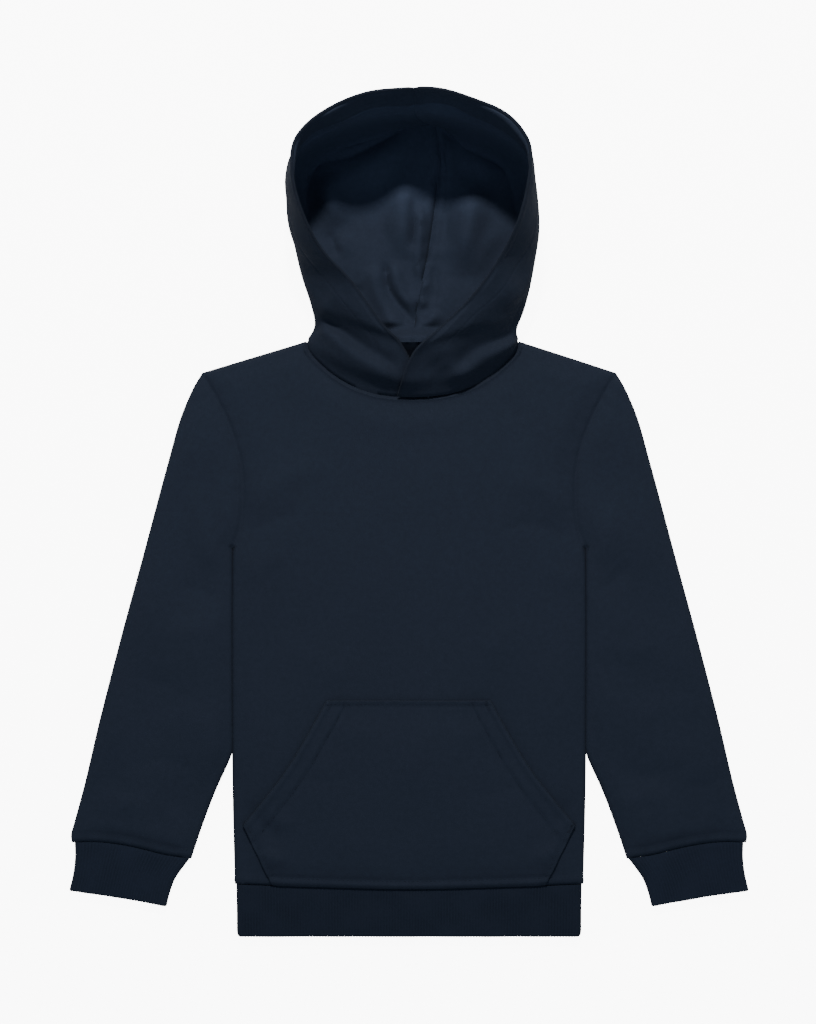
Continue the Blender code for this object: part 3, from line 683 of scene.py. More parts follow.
def sleevePiece(name, side, mine):
    armhole = smoothRun(outline["armhole"][::-1])
    shares = rolledShares(span(armhole), sleeve["armhole"])[1:]
    armhole = walk(armhole, shares)
    outerRun = smoothRun(outline["sleeveOuter"])
    innerRun = smoothRun(np.vstack((armhole[-1], outline["sleeveInner"])))
    cuffSeam = smoothRun(outline["cuffSeam"])
    cap = [rolledRun(np.array(line), sleeve["across"])
           for line in zip(armhole, walk(outerRun, sleeve["cap"] * shares))]
    down = np.linspace(0.0, 1.0, sleeve["down"] + 1)
    outerEdge = walk(outerRun, sleeve["cap"] + (1 - sleeve["cap"]) * down)
    lower = coons(cap[-1], rolledRun(cuffSeam, sleeve["across"]), walk(innerRun, down), outerEdge)
    plan = np.vstack((cap[:-1], lower))
    rings, normals = flatTube(plan, (innerRun, outerRun), np.array(sleeve["middle"]))
    flat, level = rings[..., :2], normals[..., 2]
    far = nearest([innerRun, outerRun, armhole, cuffSeam], flat)[0]
    swell = sleeve["crown"] + sleeve["swell"] * waves(flat, sleeve["swellSize"], 20 + side)
    gathers = [([(x, 58 + (x - 157) * 0.12), (x + 2, 66 + 2 * size), (x + 3, 74 + 3 * size)],
                height, sleeve["gatherWidth"], sleeve["gatherTaper"])
               for x, size, height in sleeve["gathers"]]
    above = soft(far, 0, sleeve["swellReach"]) * swell
    above = above + soft(far, 0, sleeve["foldReach"]) * folds(flat, mine)
    above = above + soft(far, 0.3, 3) * folds(flat, gathers)
    hollow = sleeve["hollow"] * np.maximum(waves(flat, sleeve["hollowSize"], 30 + side), 0)
    below = soft(far, 0, sleeve["underReach"]) * (folds(flat, sleeve["under"]) - hollow)
    relief = np.where(level > 0, above, below)
    sunk = seamDip(flat, [armhole, cuffSeam], sleeve["dip"], sleeve["puckers"], seed=6 + side)
    sunk += stitchLine(flat, [cuffSeam], sleeve["cuffStitch"], groove=0.7, band=0.7)
    sunk *= soft(np.abs(level), 0.2, 0.8)
    sunk = np.where(level > 0, sunk, np.minimum(sunk, 0))
    rings = rings + normals * (relief + sunk)[..., None]
    mirror = (side, 1, 1)
    return clothShell(name, rings * mirror, normals * mirror, garment["wall"] + sunk, fleece,
                      surfaceUv(rings), joined=len(armhole) - 1)


leftSleeve = sleevePiece("leftSleeve", -1, sleeve["left"])
rightSleeve = sleevePiece("rightSleeve", 1, sleeve["right"])
print("sleeves made")

ribs = {"pitch": 2.05, "depth": 0.38, "underDepth": 0.3, "perRib": 5, "rows": 16,
        "swell": 0.35, "swellSize": 45, "unevenSize": 26,
        "dip": (0.4, 1.6)}   # depth and width at the seam


def finished(tree, made, material, out):
    # each tree ends as real mesh with its material
    real = node(tree, "GeometryNodeRealizeInstances", {"Geometry": made.outputs[0]})
    done = node(tree, "GeometryNodeSetMaterial", {"Geometry": real.outputs[0],
                                                  "Material": material})
    tree.links.new(done.outputs[0], out[0])
    return tree


def ribTree():
    # sinks the grooves of a rib knit, which lie between whole numbers of the "wale" attribute
    tree, given, out = newGroup("ribKnit", [
        ("Cloth", "Geometry", None), ("Depth", "Float", 0.0007), ("Sharpness", "Float", 1.5),
        ("Unevenness", "Float", 0.12), ("Seed", "Int", 3), ("Finish", "Material", None),
    ], [("Cloth", "Geometry")], "GeometryNodeTree")
    marks = [node(tree, "GeometryNodeInputNamedAttribute", {"Name": mark}, data_type="FLOAT")
             for mark in ("wale", "ribShare")]
    wale, share = (mark.outputs[0] for mark in marks)
    place = node(tree, "GeometryNodeInputPosition")
    uneven = node(tree, "ShaderNodeTexNoise",
                  {"Vector": place.outputs[0], "W": given["Seed"], "Scale": 160.0, "Detail": 2.0},
                  noise_dimensions="4D")
    wave = ("COSINE", ("MULTIPLY", wale, 2 * math.pi))
    sharp = ("POWER", ("MULTIPLY", ("SUBTRACT", 1.0, wave), 0.5), given["Sharpness"])
    groove = calc(tree, "MULTIPLY", sharp, share)
    drift = ("MULTIPLY", ("SUBTRACT", uneven.outputs["Fac"], 0.5), given["Unevenness"])
    depth = calc(tree, "MULTIPLY", ("ADD", groove, ("MULTIPLY", drift, share)),
                 ("MULTIPLY", given["Depth"], -1.0))
    normal = node(tree, "GeometryNodeInputNormal")
    offset = node(tree, "ShaderNodeVectorMath", {0: normal.outputs[0], "Scale": depth},
                  operation="SCALE")
    moved = node(tree, "GeometryNodeSetPosition", {"Geometry": given["Cloth"],
                                                   "Offset": offset.outputs[0]})
    # each groove's depth is kept for the material, which paints the grooves darker as painted shade
    stored = node(tree, "GeometryNodeStoreNamedAttribute",
                  {"Geometry": moved.outputs[0], "Name": "groove", "Value": groove},
                  data_type="FLOAT", domain="POINT")
    return finished(tree, stored, given["Finish"], out)


ribKnitTree = ribTree()


def grown(piece, tree, values, material):
    # runs a geometry node tree on a piece and keeps the result as its plain mesh
    modifier = piece.modifiers.new(tree.name, "NODES")
    modifier.node_group = tree
    for item in tree.interface.items_tree:
        if item.item_type == "SOCKET" and item.in_out == "INPUT" and item.name in values:
            modifier[item.identifier] = values[item.name]
    bpy.context.view_layer.update()
    evaluated = piece.evaluated_get(bpy.context.evaluated_depsgraph_get())
    made = bpy.data.meshes.new_from_object(evaluated)
    piece.modifiers.remove(modifier)
    old = piece.data
    piece.data = made
    bpy.data.meshes.remove(old)
    made.name = piece.name
    if not made.materials:
        made.materials.append(material)
    return piece


def ribbedTube(name, first, last, near, far, seed, mirror=(1, 1, 1), paleAndPaintedLight=0.0):
    first, last = smoothRun(first), smoothRun(last)
    count = round((span(last) - garment["thick"]) / ribs["pitch"])
    shares = rolledShares(span(last), count * ribs["perRib"])
    down = np.linspace(0.0, 1.0, ribs["rows"] + 1)
    near, far = walk(near, down), walk(far, down)
    plan = coons(walk(first, shares), walk(last, shares), near, far)
    rings, normals = flatTube(plan, (near, far), (near[0] + far[-1]) / 2)
    flat, level = rings[..., :2], normals[..., 2]
    wale = (shares * span(last) - half) / ribs["pitch"]
    wale = np.broadcast_to(np.concatenate((wale, wale[-2::-1])), level.shape)
    share = np.where(level > 0, soft(level, 0.3, 0.9),
                     ribs["underDepth"] / ribs["depth"] * soft(-level, 0.3, 0.9))
    uneven = np.clip(0.8 + 0.4 * waves(flat, ribs["unevenSize"], seed + 5), 0.35, 1.2)
    share = share * soft(down, -0.02, 0.05)[:, None] * uneven
    swell = soft(nearest([near, far, first], flat)[0], 0, 8) * ribs["swell"]
    swell = np.where(level > 0, swell * waves(flat, ribs["swellSize"], seed), 0.0)
    deep, wide = ribs["dip"]
    sunk = -deep * bell(nearest([first], flat)[0], wide) * soft(np.abs(level), 0.2, 0.8)
    rings = rings + normals * (swell + sunk)[..., None]
    piece = clothShell(name, rings * mirror, normals * mirror, garment["ribWall"] + sunk, ribKnit,
                       surfaceUv(rings), folded="last", joined=0,
                       marks={"wale": wale, "ribShare": share, "paleAndPaintedLight": share * 0 + paleAndPaintedLight})
    asked = {"Depth": ribs["depth"] * mm, "Seed": seed, "Finish": ribKnit}
    return grown(piece, ribKnitTree, asked, ribKnit)


cuffs = [ribbedTube(name, outline["cuffTop"], outline["cuffEdge"], smoothRun(outline["cuffOuter"]),
                    smoothRun(outline["cuffInner"]), 11 + side, (side, 1, 1), 1.0)
         for name, side in (("leftCuff", -1), ("rightCuff", 1))]
bandRight = np.array(outline["bandEdge"])
bandLeft = mirrored(bandRight)
bandTop = np.array(outline["hemSeam"]) * (bandRight[0, 0] / outline["hemSeam"][-1][0], 1)
hemBand = ribbedTube("hemBand", bandTop[::-1], [bandRight[-1], (0.0, 0.0), bandLeft[-1]],
                     bandRight, bandLeft, 14)
print("ribbing made")

pocket = {
    "lowerSide": [(98.0, 37.6), (104.3, 49.8), (107.8, 57.8), (112.2, 66.2),
                  (115.0, 72.8), (119.0, 80.5)],
    "opening": [(119.0, 80.5), (102.8, 100.5), (86.5, 122.6), (72.0, 147.0), (58.8, 170.6)],
    "across": 96, "up": 86, "edge": 0.75, "hemWidth": 13.5, "hemRise": 0.8,
    "lift": 0.4, "clear": 0.2,   # rise at the openings, and gap over the front panel
    "edgeRoll": (1.0, 2.3, 1.7), "topStitch": 3.0, "crown": 1.1, "crownReach": (4, 34),
    "swell": 0.5, "swellSize": 85,
    "tacks": [((116.2, 79.5), 62, 9.0), ((57.0, 167.0), -62, 7.0)],   # place, angle, length
    "folds": [
        ([(-84, 118), (-58, 112), (-34, 116)], -0.7, 10, 20),
        ([(86, 112), (62, 104), (40, 106)], -0.6, 10, 20),
        ([(-114, 77), (-103, 72), (-90, 74)], -1.3, 6, 9),
        ([(-106, 62), (-96, 57), (-84, 54)], 1.2, 6, 9),
        ([(-100, 92), (-92, 84), (-80, 80)], 0.9, 5, 9),
        ([(112, 82), (103, 89), (94, 100)], -1.3, 5, 9),
        ([(108, 68), (98, 60), (86, 57)], 1.0, 6, 9),
        ([(-64, 160), (-40, 148), (-12, 150)], 0.7, 9, 18),
        ([(62, 156), (44, 146), (20, 150)], 0.6, 9, 16),
        ([(-6, 60), (4, 90), (-2, 122)], -0.5, 14, 24),
    ],
}


def makePocket():
    edge, hemWidth, topStitch = pocket["edge"], pocket["hemWidth"], pocket["topStitch"]
    roll = {"radius": edge, "turns": 3}
    opening, lower = smoothRun(pocket["opening"]), smoothRun(pocket["lowerSide"])
    right = rolledRun(np.vstack((lower[:-1], opening)), pocket["up"], **roll)
    left = mirrored(right)
    hem = hemSeam[np.abs(hemSeam[:, 0]) < lower[0, 0] - 1]
    hem = np.vstack((left[:1], hem, right[:1]))
    topEdge = np.array((left[-1], right[-1]))
    bottom, top = (rolledRun(run, pocket["across"], **roll) for run in (hem, topEdge))
    plan = coons(bottom, top, left, right)
    openings, lowerSides = ([run, mirrored(run)] for run in (opening, lower))
    closed = lowerSides + [topEdge, hem]
    far, fromOpening, fromSewn = (nearest(runs, plan)[0]
                                  for runs in (openings + closed, openings, closed))
    wall = garment["wall"] + pocket["hemRise"] * ebb(fromOpening, hemWidth - 0.7, hemWidth + 0.7)
    high, at, wide = pocket["edgeRoll"]   # the folded edge of each opening stands up a little
    wall += high * bell(fromOpening - at, wide) * soft(fromSewn, 0, 6)
    wall += stitchLine(plan, [topEdge], topStitch, groove=0.9, band=0.9, edge=0.2)
    wall += stitchLine(plan, lowerSides, topStitch, groove=0.6, band=-0.2)
    wall += stitchLine(plan, openings, hemWidth, groove=0.85, width=1.0)
    wall += stitchLine(plan, [hem], body["hemStitch"], groove=1.3, width=1.3, band=0.9)
    wall += seamDip(plan, [hem], 1.0)
    wall += seamDip(plan, [topEdge] + lowerSides, 0.0, 0.3, seed=17)
    rounded = np.sqrt(1 - np.clip(1 - far / edge, 0, 1) ** 2)
    rise = pocket["lift"] * ebb(fromOpening, 0, 16) * soft(fromSewn, 2, 30)
    swell = pocket["swell"] * waves(plan, pocket["swellSize"], 15)
    rise += soft(far, *pocket["crownReach"]) * (pocket["crown"] + swell)
    rise += soft(fromSewn, 0, 8) * soft(fromOpening, -6, 8) * folds(plan, pocket["folds"])
    base = 2 * half + frontRelief(plan) + pocket["clear"] + np.maximum(rise, 0.0)
    outer = lifted(plan, base + edge + (wall - edge) * rounded)
    normals = np.zeros(outer.shape) + (0.0, 0.0, 1.0)
    return clothShell("pouchPocket", outer, normals, wall * rounded, fleece, plan)


pouchPocket = makePocket()
print("pocket made")

hood = {
    "sections": [   # rim x, y, z; belly x, y; y at the centre back seam
        (-2.5, 421.5, 21.0, -67.5, 440.0, 440.0), (-17.0, 437.5, 36.0, -70.0, 454.5, 455.0),
        (-39.0, 467.0, 48.0, -76.5, 475.0, 471.0), (-60.5, 489.0, 65.0, -81.5, 497.0, 489.0),
        (-74.0, 514.0, 84.0, -85.5, 521.0, 506.0), (-80.5, 541.0, 96.0, -86.7, 544.0, 523.0),
        (-77.0, 566.8, 101.0, -76.5, 563.0, 538.0), (-47.5, 588.8, 104.0, -44.0, 580.0, 551.0),
        (4.0, 598.8, 105.0, 5.0, 588.0, 561.0), (58.0, 586.6, 104.0, 53.5, 577.5, 551.0),
        (82.0, 565.2, 101.0, 80.5, 560.0, 538.0), (84.0, 540.5, 96.0, 88.4, 542.0, 523.0),
        (76.5, 509.0, 83.0, 91.8, 516.0, 506.0), (64.0, 484.0, 65.0, 90.4, 491.5, 489.0),
        (43.0, 456.0, 51.0, 87.0, 468.0, 471.0), (18.0, 432.5, 41.0, 82.5, 450.0, 455.0),
        (2.5, 416.5, 29.0, 77.5, 436.5, 440.0),
    ],
    "seam": [(2.5, 427.5), (7.0, 458.5), (14.5, 494.5), (19.5, 530.4), (23.0, 561.0),
             (19.5, 587.0)],
    "crown": 8, "crownBase": 587.0, "bellyRise": 0.55, "rimLean": (0.12, 0.45),
    "rimDrop": (0.34, 0.05), "upright": 0.6, "floorLean": 0.5, "inset": (6.0, 0.16), "flap": 11.4,
    "flapLift": (4.2, 22.8, 45.6),   # height, how far it holds, over what length it ends
    "spans": 13, "wall": 60, "base": 18, "floor": 42,   # how many rows and columns
    "rimFold": 2.3,   # room for the rim's fold
    "rimHem": 25.0, "rimWall": 3.2, "rimThin": 1.2, "neckRoll": (17.0, 3.0, 13.0),
    "rimStitch": 22.6, "swell": 1.0,
    # x, rise, width
    "rimWaves": [(-56, -3, 13), (-30, 5.5, 17), (-4, -4.5, 14), (23, 8, 17), (50, -3, 14)],
    "waveReach": (540, 566, 62),   # full above the second y, and this far down the wall
    "collarRise": 7.0, "collarReach": (24, 75),   # full and gone at these distances from the neck
    "swellSize": 60, "floorSwell": (1.6, 55),   # height and size of the floor's soft swell
    "allowance": (0.7, 5.5, 7.5),   # rise of a seam's inner edge, and the end of it
    "seamDip": 0.8, "rimGroove": 0.45, "gather": 0.45, "gatherSize": 11,
    "paintedFillLight": (3.0, 508, 552),   # painted fill light: how much paler the brushed inside is painted towards the crown, in the rim's shadow, and from which y
    "collarFolds": [   # side, path, height, width, taper
        (-1, [(-60, 462), (-44, 449), (-29, 435), (-15, 421.5), (-7, 414)], 2.8, 8.5, 10),
        (-1, [(-62, 446), (-50, 437), (-34.8, 426.8), (-23, 419), (-13, 412.8), (-7, 409)],
         -6.2, 4.4, 8),
        (-1, [(-66, 440), (-54, 430.5), (-40.5, 419.5), (-28, 412.3), (-16.5, 407.3), (-9, 404)],
         5.0, 4.8, 8),
        (-1, [(-80, 468), (-70, 458), (-60, 451)], -1.6, 7.0, 12),
        (-1, [(-86, 476), (-78, 462), (-71, 450)], 1.8, 6.0, 12),
        (1, [(84, 470), (72, 461), (58, 450), (45, 438), (33, 427), (23, 418.5), (14, 412)],
         4.5, 10.5, 14),
        (1, [(88, 455), (82, 445), (73, 435), (62, 428.5), (46.8, 421), (36, 413), (32.5, 409)],
         -5.2, 4.4, 7),
        (1, [(84, 438), (76, 428.5), (63, 421), (50, 413.5), (39.5, 404.5), (28, 401)],
         4.6, 5.6, 10),
        (1, [(96, 484), (88, 470), (80, 459), (66, 449)], 2.0, 6.0, 12),
        (1, [(92, 468), (84, 458), (72, 448), (58, 441)], -2.2, 5.0, 12),
        (1, [(31, 416.5), (24, 411.8), (18.4, 407.4), (12, 403.4)], -3.6, 2.8, 5),
        (1, [(30, 414), (24, 409.6), (18.9, 405.6), (12.5, 401.6)], 4.0, 2.2, 5),
        (1, [(31, 410.5), (26, 406.5), (20, 402.6), (14, 399.4)], -3.4, 2.6, 5),
        (1, [(60, 413), (52, 410), (44, 405)], -1.2, 2.4, 6),
    ],
    "floorFolds": [   # path, height, width, taper
        ([(21.5, 556), (19.5, 530.4), (17.2, 514), (14.5, 494.5), (12, 484)], -2.8, 1.5, 8),
        ([(-83, 543), (-63.7, 557.3), (-42.1, 562.3), (-20, 573), (-0.4, 587)], -2.0, 3.0, 12),
        ([(-76, 528), (-57, 543), (-36, 550), (-10, 566), (6, 575)], 4.2, 10.0, 24),
        ([(19.8, 582), (37.1, 574.6), (52.9, 570.2), (67.3, 563), (82, 548)], -2.0, 3.0, 12),
        ([(36, 564), (52, 557), (68, 544)], 3.2, 8.0, 16),
        ([(-16.9, 487), (-15.1, 469.4), (-9.7, 458.6), (1.1, 446), (8.3, 440)], -3.4, 1.9, 8),
        ([(-10, 488), (-8.5, 472), (-3, 461), (7, 451)], 4.0, 5.0, 12),
        ([(-25, 486), (-23, 466), (-14, 449), (-2, 437)], 3.6, 6.0, 12),
        ([(-57.5, 508), (-54, 498), (-50, 488)], -2.2, 3.0, 7),
        ([(-50, 512), (-46, 500), (-43, 488)], 2.2, 6.0, 12),
        ([(-39, 469), (-36, 466), (-33, 463)], -1.8, 2.4, 3),
        ([(-5, 560), (-4, 536), (-5, 508), (-8, 480)], 9.5, 11.5, 34),
        ([(4.5, 536), (3.6, 514), (2.0, 494)], -3.4, 2.2, 12),
        ([(9, 528), (8.5, 510), (6.5, 490), (8, 470)], 3.6, 3.4, 12),
        ([(47, 552), (45, 526), (41, 500), (36, 474)], 11.5, 12.0, 32),
        ([(26, 528), (27, 512), (25, 494)], -1.5, 5.0, 14),
        ([(-58, 550), (-56, 530), (-51, 506)], 11.0, 11.0, 22),
        ([(70, 514), (56, 496), (48, 474)], 2.4, 7.0, 16),
        ([(13, 474), (9, 462), (13, 452)], 2.8, 3.0, 6),
        ([(17, 484), (20, 470), (18, 456)], -2.0, 2.4, 6),
        ([(-22, 447), (-4, 437), (16, 434)], 5.0, 6.0, 10),
        ([(22, 452), (12, 440), (2, 434)], 4.0, 5.0, 8),
    ],
}


def bezier(a, b, c, d, count=160):
    t = np.linspace(0.0, 1.0, count + 1)[:, None]
    return (1 - t) ** 3 * a + 3 * (1 - t) ** 2 * t * b + 3 * (1 - t) * t**2 * c + t**3 * d


def seamX(y):
    seam = np.array(hood["seam"])
    return np.interp(y, seam[:, 1], seam[:, 0])


def rimShares(length):
    return np.concatenate(([0.0], np.linspace(hood["rimFold"] / length, 1.0, hood["wall"])))


def hoodSection(size, isCrown):
    rimX, rimY, rimZ, bellyX, bellyY, seamY = size
    rim = np.array((rimX, rimY, rimZ))
    belly = np.array((bellyX, bellyY, hood["bellyRise"] * rimZ))
    seam = np.array((seamX(seamY), seamY, 0.0))
    level = np.array((1.0, 1.0, 0.0))
    if isCrown:
        floor = np.array((hood["seam"][-1][0], hood["crownBase"], 0.0))
    else:
        inward = (seam - belly) * level
        inset = hood["inset"][0] + hood["inset"][1] * belly[2]
        floor = belly * level + inward * inset / np.linalg.norm(inward)
    fall = rim[2] - belly[2]
    # 0 where the wall leans out
    wider = soft(((belly - rim) * level) @ unit((rim - seam) * level), -4, 3)
    lean, drop = (a + (b - a) * wider for a, b in (hood["rimLean"], hood["rimDrop"]))
    over = rim + lean * (belly - rim) * level - (0, 0, drop * fall)
    upper = bezier(rim, over, belly + (0, 0, hood["upright"] * fall), belly)
    lower = bezier(belly, belly - (0, 0, hood["upright"] * belly[2]),
                   floor + hood["floorLean"] * (belly - floor) * level, floor)
    share = np.linspace(0.0, 1.0, hood["floor"] + 1)[:, None]
    base = (1 - share) * floor + share * seam
    if isCrown:
        base[:, 0] = seamX(base[:, 1])
    return np.vstack((walk(upper, rimShares(lengths(upper)[-1])),
                      walk(lower, np.linspace(0, 1, hood["base"] + 1))[1:], base[1:]))


def hoodNeckRow(side):
    front, back = (run[::-side] for run in (frontNeck, backNeck))
    total = span(front)
    flap = walk(front, np.linspace(0, (total / 2 + hood["flap"]) / total, 400))[::-1]
    reach, turns = span(flap), 6
    near = (half * (1 - np.cos(np.radians(np.linspace(90, 0, turns + 1)))))[1:]
    even = rimShares(reach)[:-turns]
    even = even * (reach - half) / (reach * even[-1])
    flap = walk(flap, np.concatenate((even, 1 - near / reach)))
    under = walk(back, np.linspace(0, 0.5, 400))
    under = rolledRun(under, hood["base"] + hood["floor"] - rollSteps, end=False)
    up = rolledOff(span(flap) - lengths(flap), unit(np.gradient(flap, axis=0)))
    down = rolledOff(lengths(under), unit(-np.gradient(under, axis=0)))
    above = half + half * up[:, 2]
    if side > 0:   # the right flap lies over the left one
        high, start, length = hood["flapLift"]
        above = above + high * np.clip(1 - (lengths(flap) - start) / length, 0, 1)
    row = np.vstack((lifted(flap, above), lifted(under, half - half * down[:, 2])[1:]))
    return row, np.vstack((up, (down * (1, 1, -1))[1:]))


def hoodLoop():
    rows = [hoodSection(size, index == hood["crown"])
            for index, size in enumerate(hood["sections"])]
    rows = np.array([hoodNeckRow(-1)[0], *rows, hoodNeckRow(1)[0]])
    loop = np.stack([smoothRun(line, hood["spans"]) for line in rows.transpose(1, 0, 2)], axis=1)
    crown = hood["spans"] * (hood["crown"] + 1)
    normals = gridNormals(loop)
    row, column = np.arange(len(loop)), np.arange(loop.shape[1])
    rowFade = soft(np.minimum(row, row[::-1]), 0, 5)[:, None]
    wallPart = soft(column, 1, 6) * ebb(column, hood["wall"] - 8, hood["wall"] + 2)
    for side, part in ((-1, slice(0, crown + 1)), (1, slice(crown, None))):
        mine = [fold[1:] for fold in hood["collarFolds"] if fold[0] == side]
        loop[part, :, 2] += evened(folds(loop[part], mine), 2) * wallPart * rowFade[part]
    along = alongColumns(loop)
    fromNeck = np.minimum(along, along[-1:] - along)
    collar = hood["collarRise"] * soft(fromNeck, -3, 14) * ebb(fromNeck, *hood["collarReach"])
    loop[..., 2] += collar * ebb(column, hood["wall"] - 22, hood["wall"] - 2) * rowFade
    rise = sum(height * bell(loop[:, :1, 0] - x, width) for x, height, width in hood["rimWaves"])
    low, high, deep = hood["waveReach"]
    loop[..., 2] += rise * soft(loop[:, :1, 1], low, high) * ebb(alongRows(loop), 2, deep)
    place = loop[..., [0, 2]] + loop[..., [1, 1]] * (0.6, 0.8)
    swell = hood["swell"] * waves(place, hood["swellSize"], 41)
    return loop + normals * (swell * wallPart * rowFade)[..., None], crown


def hoodPanel(name, grid, neckNormals, side):
    normals = gridNormals(grid) * -side
    normals[0] = neckNormals
    fromRim, fromNeck, hem = alongRows(grid), alongColumns(grid), hood["rimHem"]
    fromSeam, fromCrown = fromRim[:, -1:] - fromRim, fromNeck[-1:] - fromNeck
    thicker = hood["rimWall"] - garment["wall"]
    wall = garment["wall"] + thicker * ebb(fromRim, hem - 0.9, hem + 0.9)
    wall = wall - hood["rimThin"] * ebb(fromRim, 0, 6)
    onFloor = soft(-normals[..., 2], 0.5, 0.95)
    groove = hood["rimGroove"] * bell(fromRim - hood["rimStitch"], 1.0)
    seamAway = np.where(fromRim > 70, np.minimum(fromSeam, fromCrown), fromCrown)
    sunk = hood["seamDip"] * bell(seamAway, 2.0) + bell(fromNeck, 2.0)
    sunk = -0.6 * groove - sunk * (1 - onFloor)
    gather = waves(grid[..., [1, 2]], hood["gatherSize"], 51 + side)
    gather = gather * np.exp(-fromSeam / 9) * soft(fromSeam, 0.5, 3)
    thick, full, gone = hood["allowance"]
    inward = thick * ebb(seamAway, full, gone) - 1.3 * bell(seamAway, 1.4)
    inward = inward + hood["gather"] * gather * onFloor - groove - bell(fromRim - hem - 1.0, 1.3)
    inner = -normals * inward[..., None]
    rise = folds(grid, hood["floorFolds"])
    high, size = hood["floorSwell"]
    rise += high * np.maximum(waves(grid, size, 61), -0.3) * soft(fromSeam, 4, 20)
    inner[..., 2] += np.maximum(rise, -1.3) * onFloor * soft(fromNeck, 6, 16)
    high, start, end = hood["neckRoll"]   # the neck seam's bunched edge inside the throat
    inner[..., 2] += high * ebb(fromNeck, start, end) * onFloor * ebb(fromSeam, 7, 25)
    outer = grid + normals * sunk[..., None]
    # painted shade: the rim's fold is painted darker on both faces, against the light that it
    # catches
    edge = -0.6 * ebb(fromRim, 0.5, 3.0)
    # the rim's hem shows the outer face, and the brushed inside is paler; towards the crown it is
    # painted paler still, as painted fill light in the rim's shadow, less so near the rim
    paleAndPaintedLight = soft(fromRim, hem - 0.6, hem + 0.6)
    paintedLift, start, end = hood["paintedFillLight"]
    paleAndPaintedLight += paintedLift * soft(grid[..., 1], start, end) * (0.3 + 0.7 * soft(fromRim, 12, 45))
    turn = (1, 0, 2)
    piece = clothShell(name, outer.transpose(turn), normals.transpose(turn), (wall + sunk).T,
                       fleece, surfaceUv(grid).transpose(turn), folded="first",
                       marks={"paleAndPaintedLight": edge.T}, behindMarks={"paleAndPaintedLight": (paleAndPaintedLight + edge).T},
                       innerLift=inner.transpose(turn))
    return piece, {"grid": outer, "inner": grid - normals * wall[..., None] + inner,
                   "normals": normals, "fromRim": fromRim}


loop, crownRow = hoodLoop()
leftHood, leftForm = hoodPanel("hoodLeft", loop[:crownRow + 1], hoodNeckRow(-1)[1], -1)
rightHood, rightForm = hoodPanel("hoodRight", loop[crownRow:][::-1], hoodNeckRow(1)[1], 1)
print("hood made")

sewing = {
    "pitch": 3.1, "length": 2.5, "width": 0.62, "height": 0.42, "unevenness": 0.12,
    "underBelow": 0.15,   # how far a stitch sits under the cloth's face
    "tackRows": 4, "tackGap": 0.7,
}


def stitchTree():
    # runs short stitches along the edges of a mesh, standing along its "lift" vectors
    tree, given, out = newGroup("stitchRow", [
        ("Path", "Geometry", None), ("Pitch", "Float", 0.003), ("Length", "Float", 0.0025),
        ("Width", "Float", 0.0006), ("Height", "Float", 0.0004), ("Unevenness", "Float", 0.12),
        ("Seed", "Int", 1), ("Thread", "Material", None),
    ], [("Stitches", "Geometry")], "GeometryNodeTree")
    curve = node(tree, "GeometryNodeMeshToCurve", {"Mesh": given["Path"]})
    even = node(tree, "GeometryNodeResampleCurve",
                {"Curve": curve.outputs[0], "Length": given["Pitch"]}, mode="LENGTH")
    lift = node(tree, "GeometryNodeInputNamedAttribute", {"Name": "lift"}, data_type="FLOAT_VECTOR")
    tangent = node(tree, "GeometryNodeInputTangent")
    turn = node(tree, "FunctionNodeAxesToRotation", {0: lift.outputs[0], 1: tangent.outputs[0]},
                primary_axis="Z", secondary_axis="X")
    asked = {"Min": calc(tree, "SUBTRACT", 1.0, given["Unevenness"]),
             "Max": calc(tree, "ADD", 1.0, given["Unevenness"]), "Seed": given["Seed"]}
    dice = node(tree, "FunctionNodeRandomValue", data_type="FLOAT")
    for socket in [socket for socket in dice.inputs if socket.enabled and socket.name in asked]:
        tree.links.new(asked[socket.name], socket)
    chance = [socket for socket in dice.outputs if socket.enabled][0]
    size = node(tree, "ShaderNodeCombineXYZ", {
        axis: calc(tree, "MULTIPLY", given[label], ("MULTIPLY", chance, 0.5))
        for axis, label in (("X", "Length"), ("Y", "Width"), ("Z", "Height"))})
    bead = node(tree, "GeometryNodeMeshUVSphere", {"Segments": 8, "Rings": 5, "Radius": 1.0})
    smooth = node(tree, "GeometryNodeSetShadeSmooth", {"Geometry": bead.outputs[0]})
    rows = node(tree, "GeometryNodeInstanceOnPoints", {
        "Points": even.outputs[0], "Instance": smooth.outputs[0], "Rotation": turn.outputs[0],
        "Scale": size.outputs[0]})
    return finished(tree, rows, given["Thread"], out)


stitchRowTree = stitchTree()


def faceTree(*objects):
    points, faces = [], []
    for thing in objects:
        start = len(points)
        points += [vertex.co for vertex in thing.data.vertices]
        faces += [[start + corner for corner in face.vertices] for face in thing.data.polygons]
    return BVHTree.FromPolygons(points, faces)


def laidOn(faces, run, above=True, step=1.0):
    # points and normals where a plan run meets the cloth, from above or from below
    run = walk(run, np.linspace(0, 1, max(3, int(span(run) / step))))
    height, way = (0.3, Vector((0, 0, -1))) if above else (-0.3, Vector((0, 0, 1)))
    found = []
    for x, y, _ in laidOut(lifted(run, np.zeros(len(run)))):
        place, normal, _, _ = faces.ray_cast(Vector((x, y, height)), way)
        if place is not None:
            found.append((place, -normal if normal.dot(way) > 0 else normal))
    return found


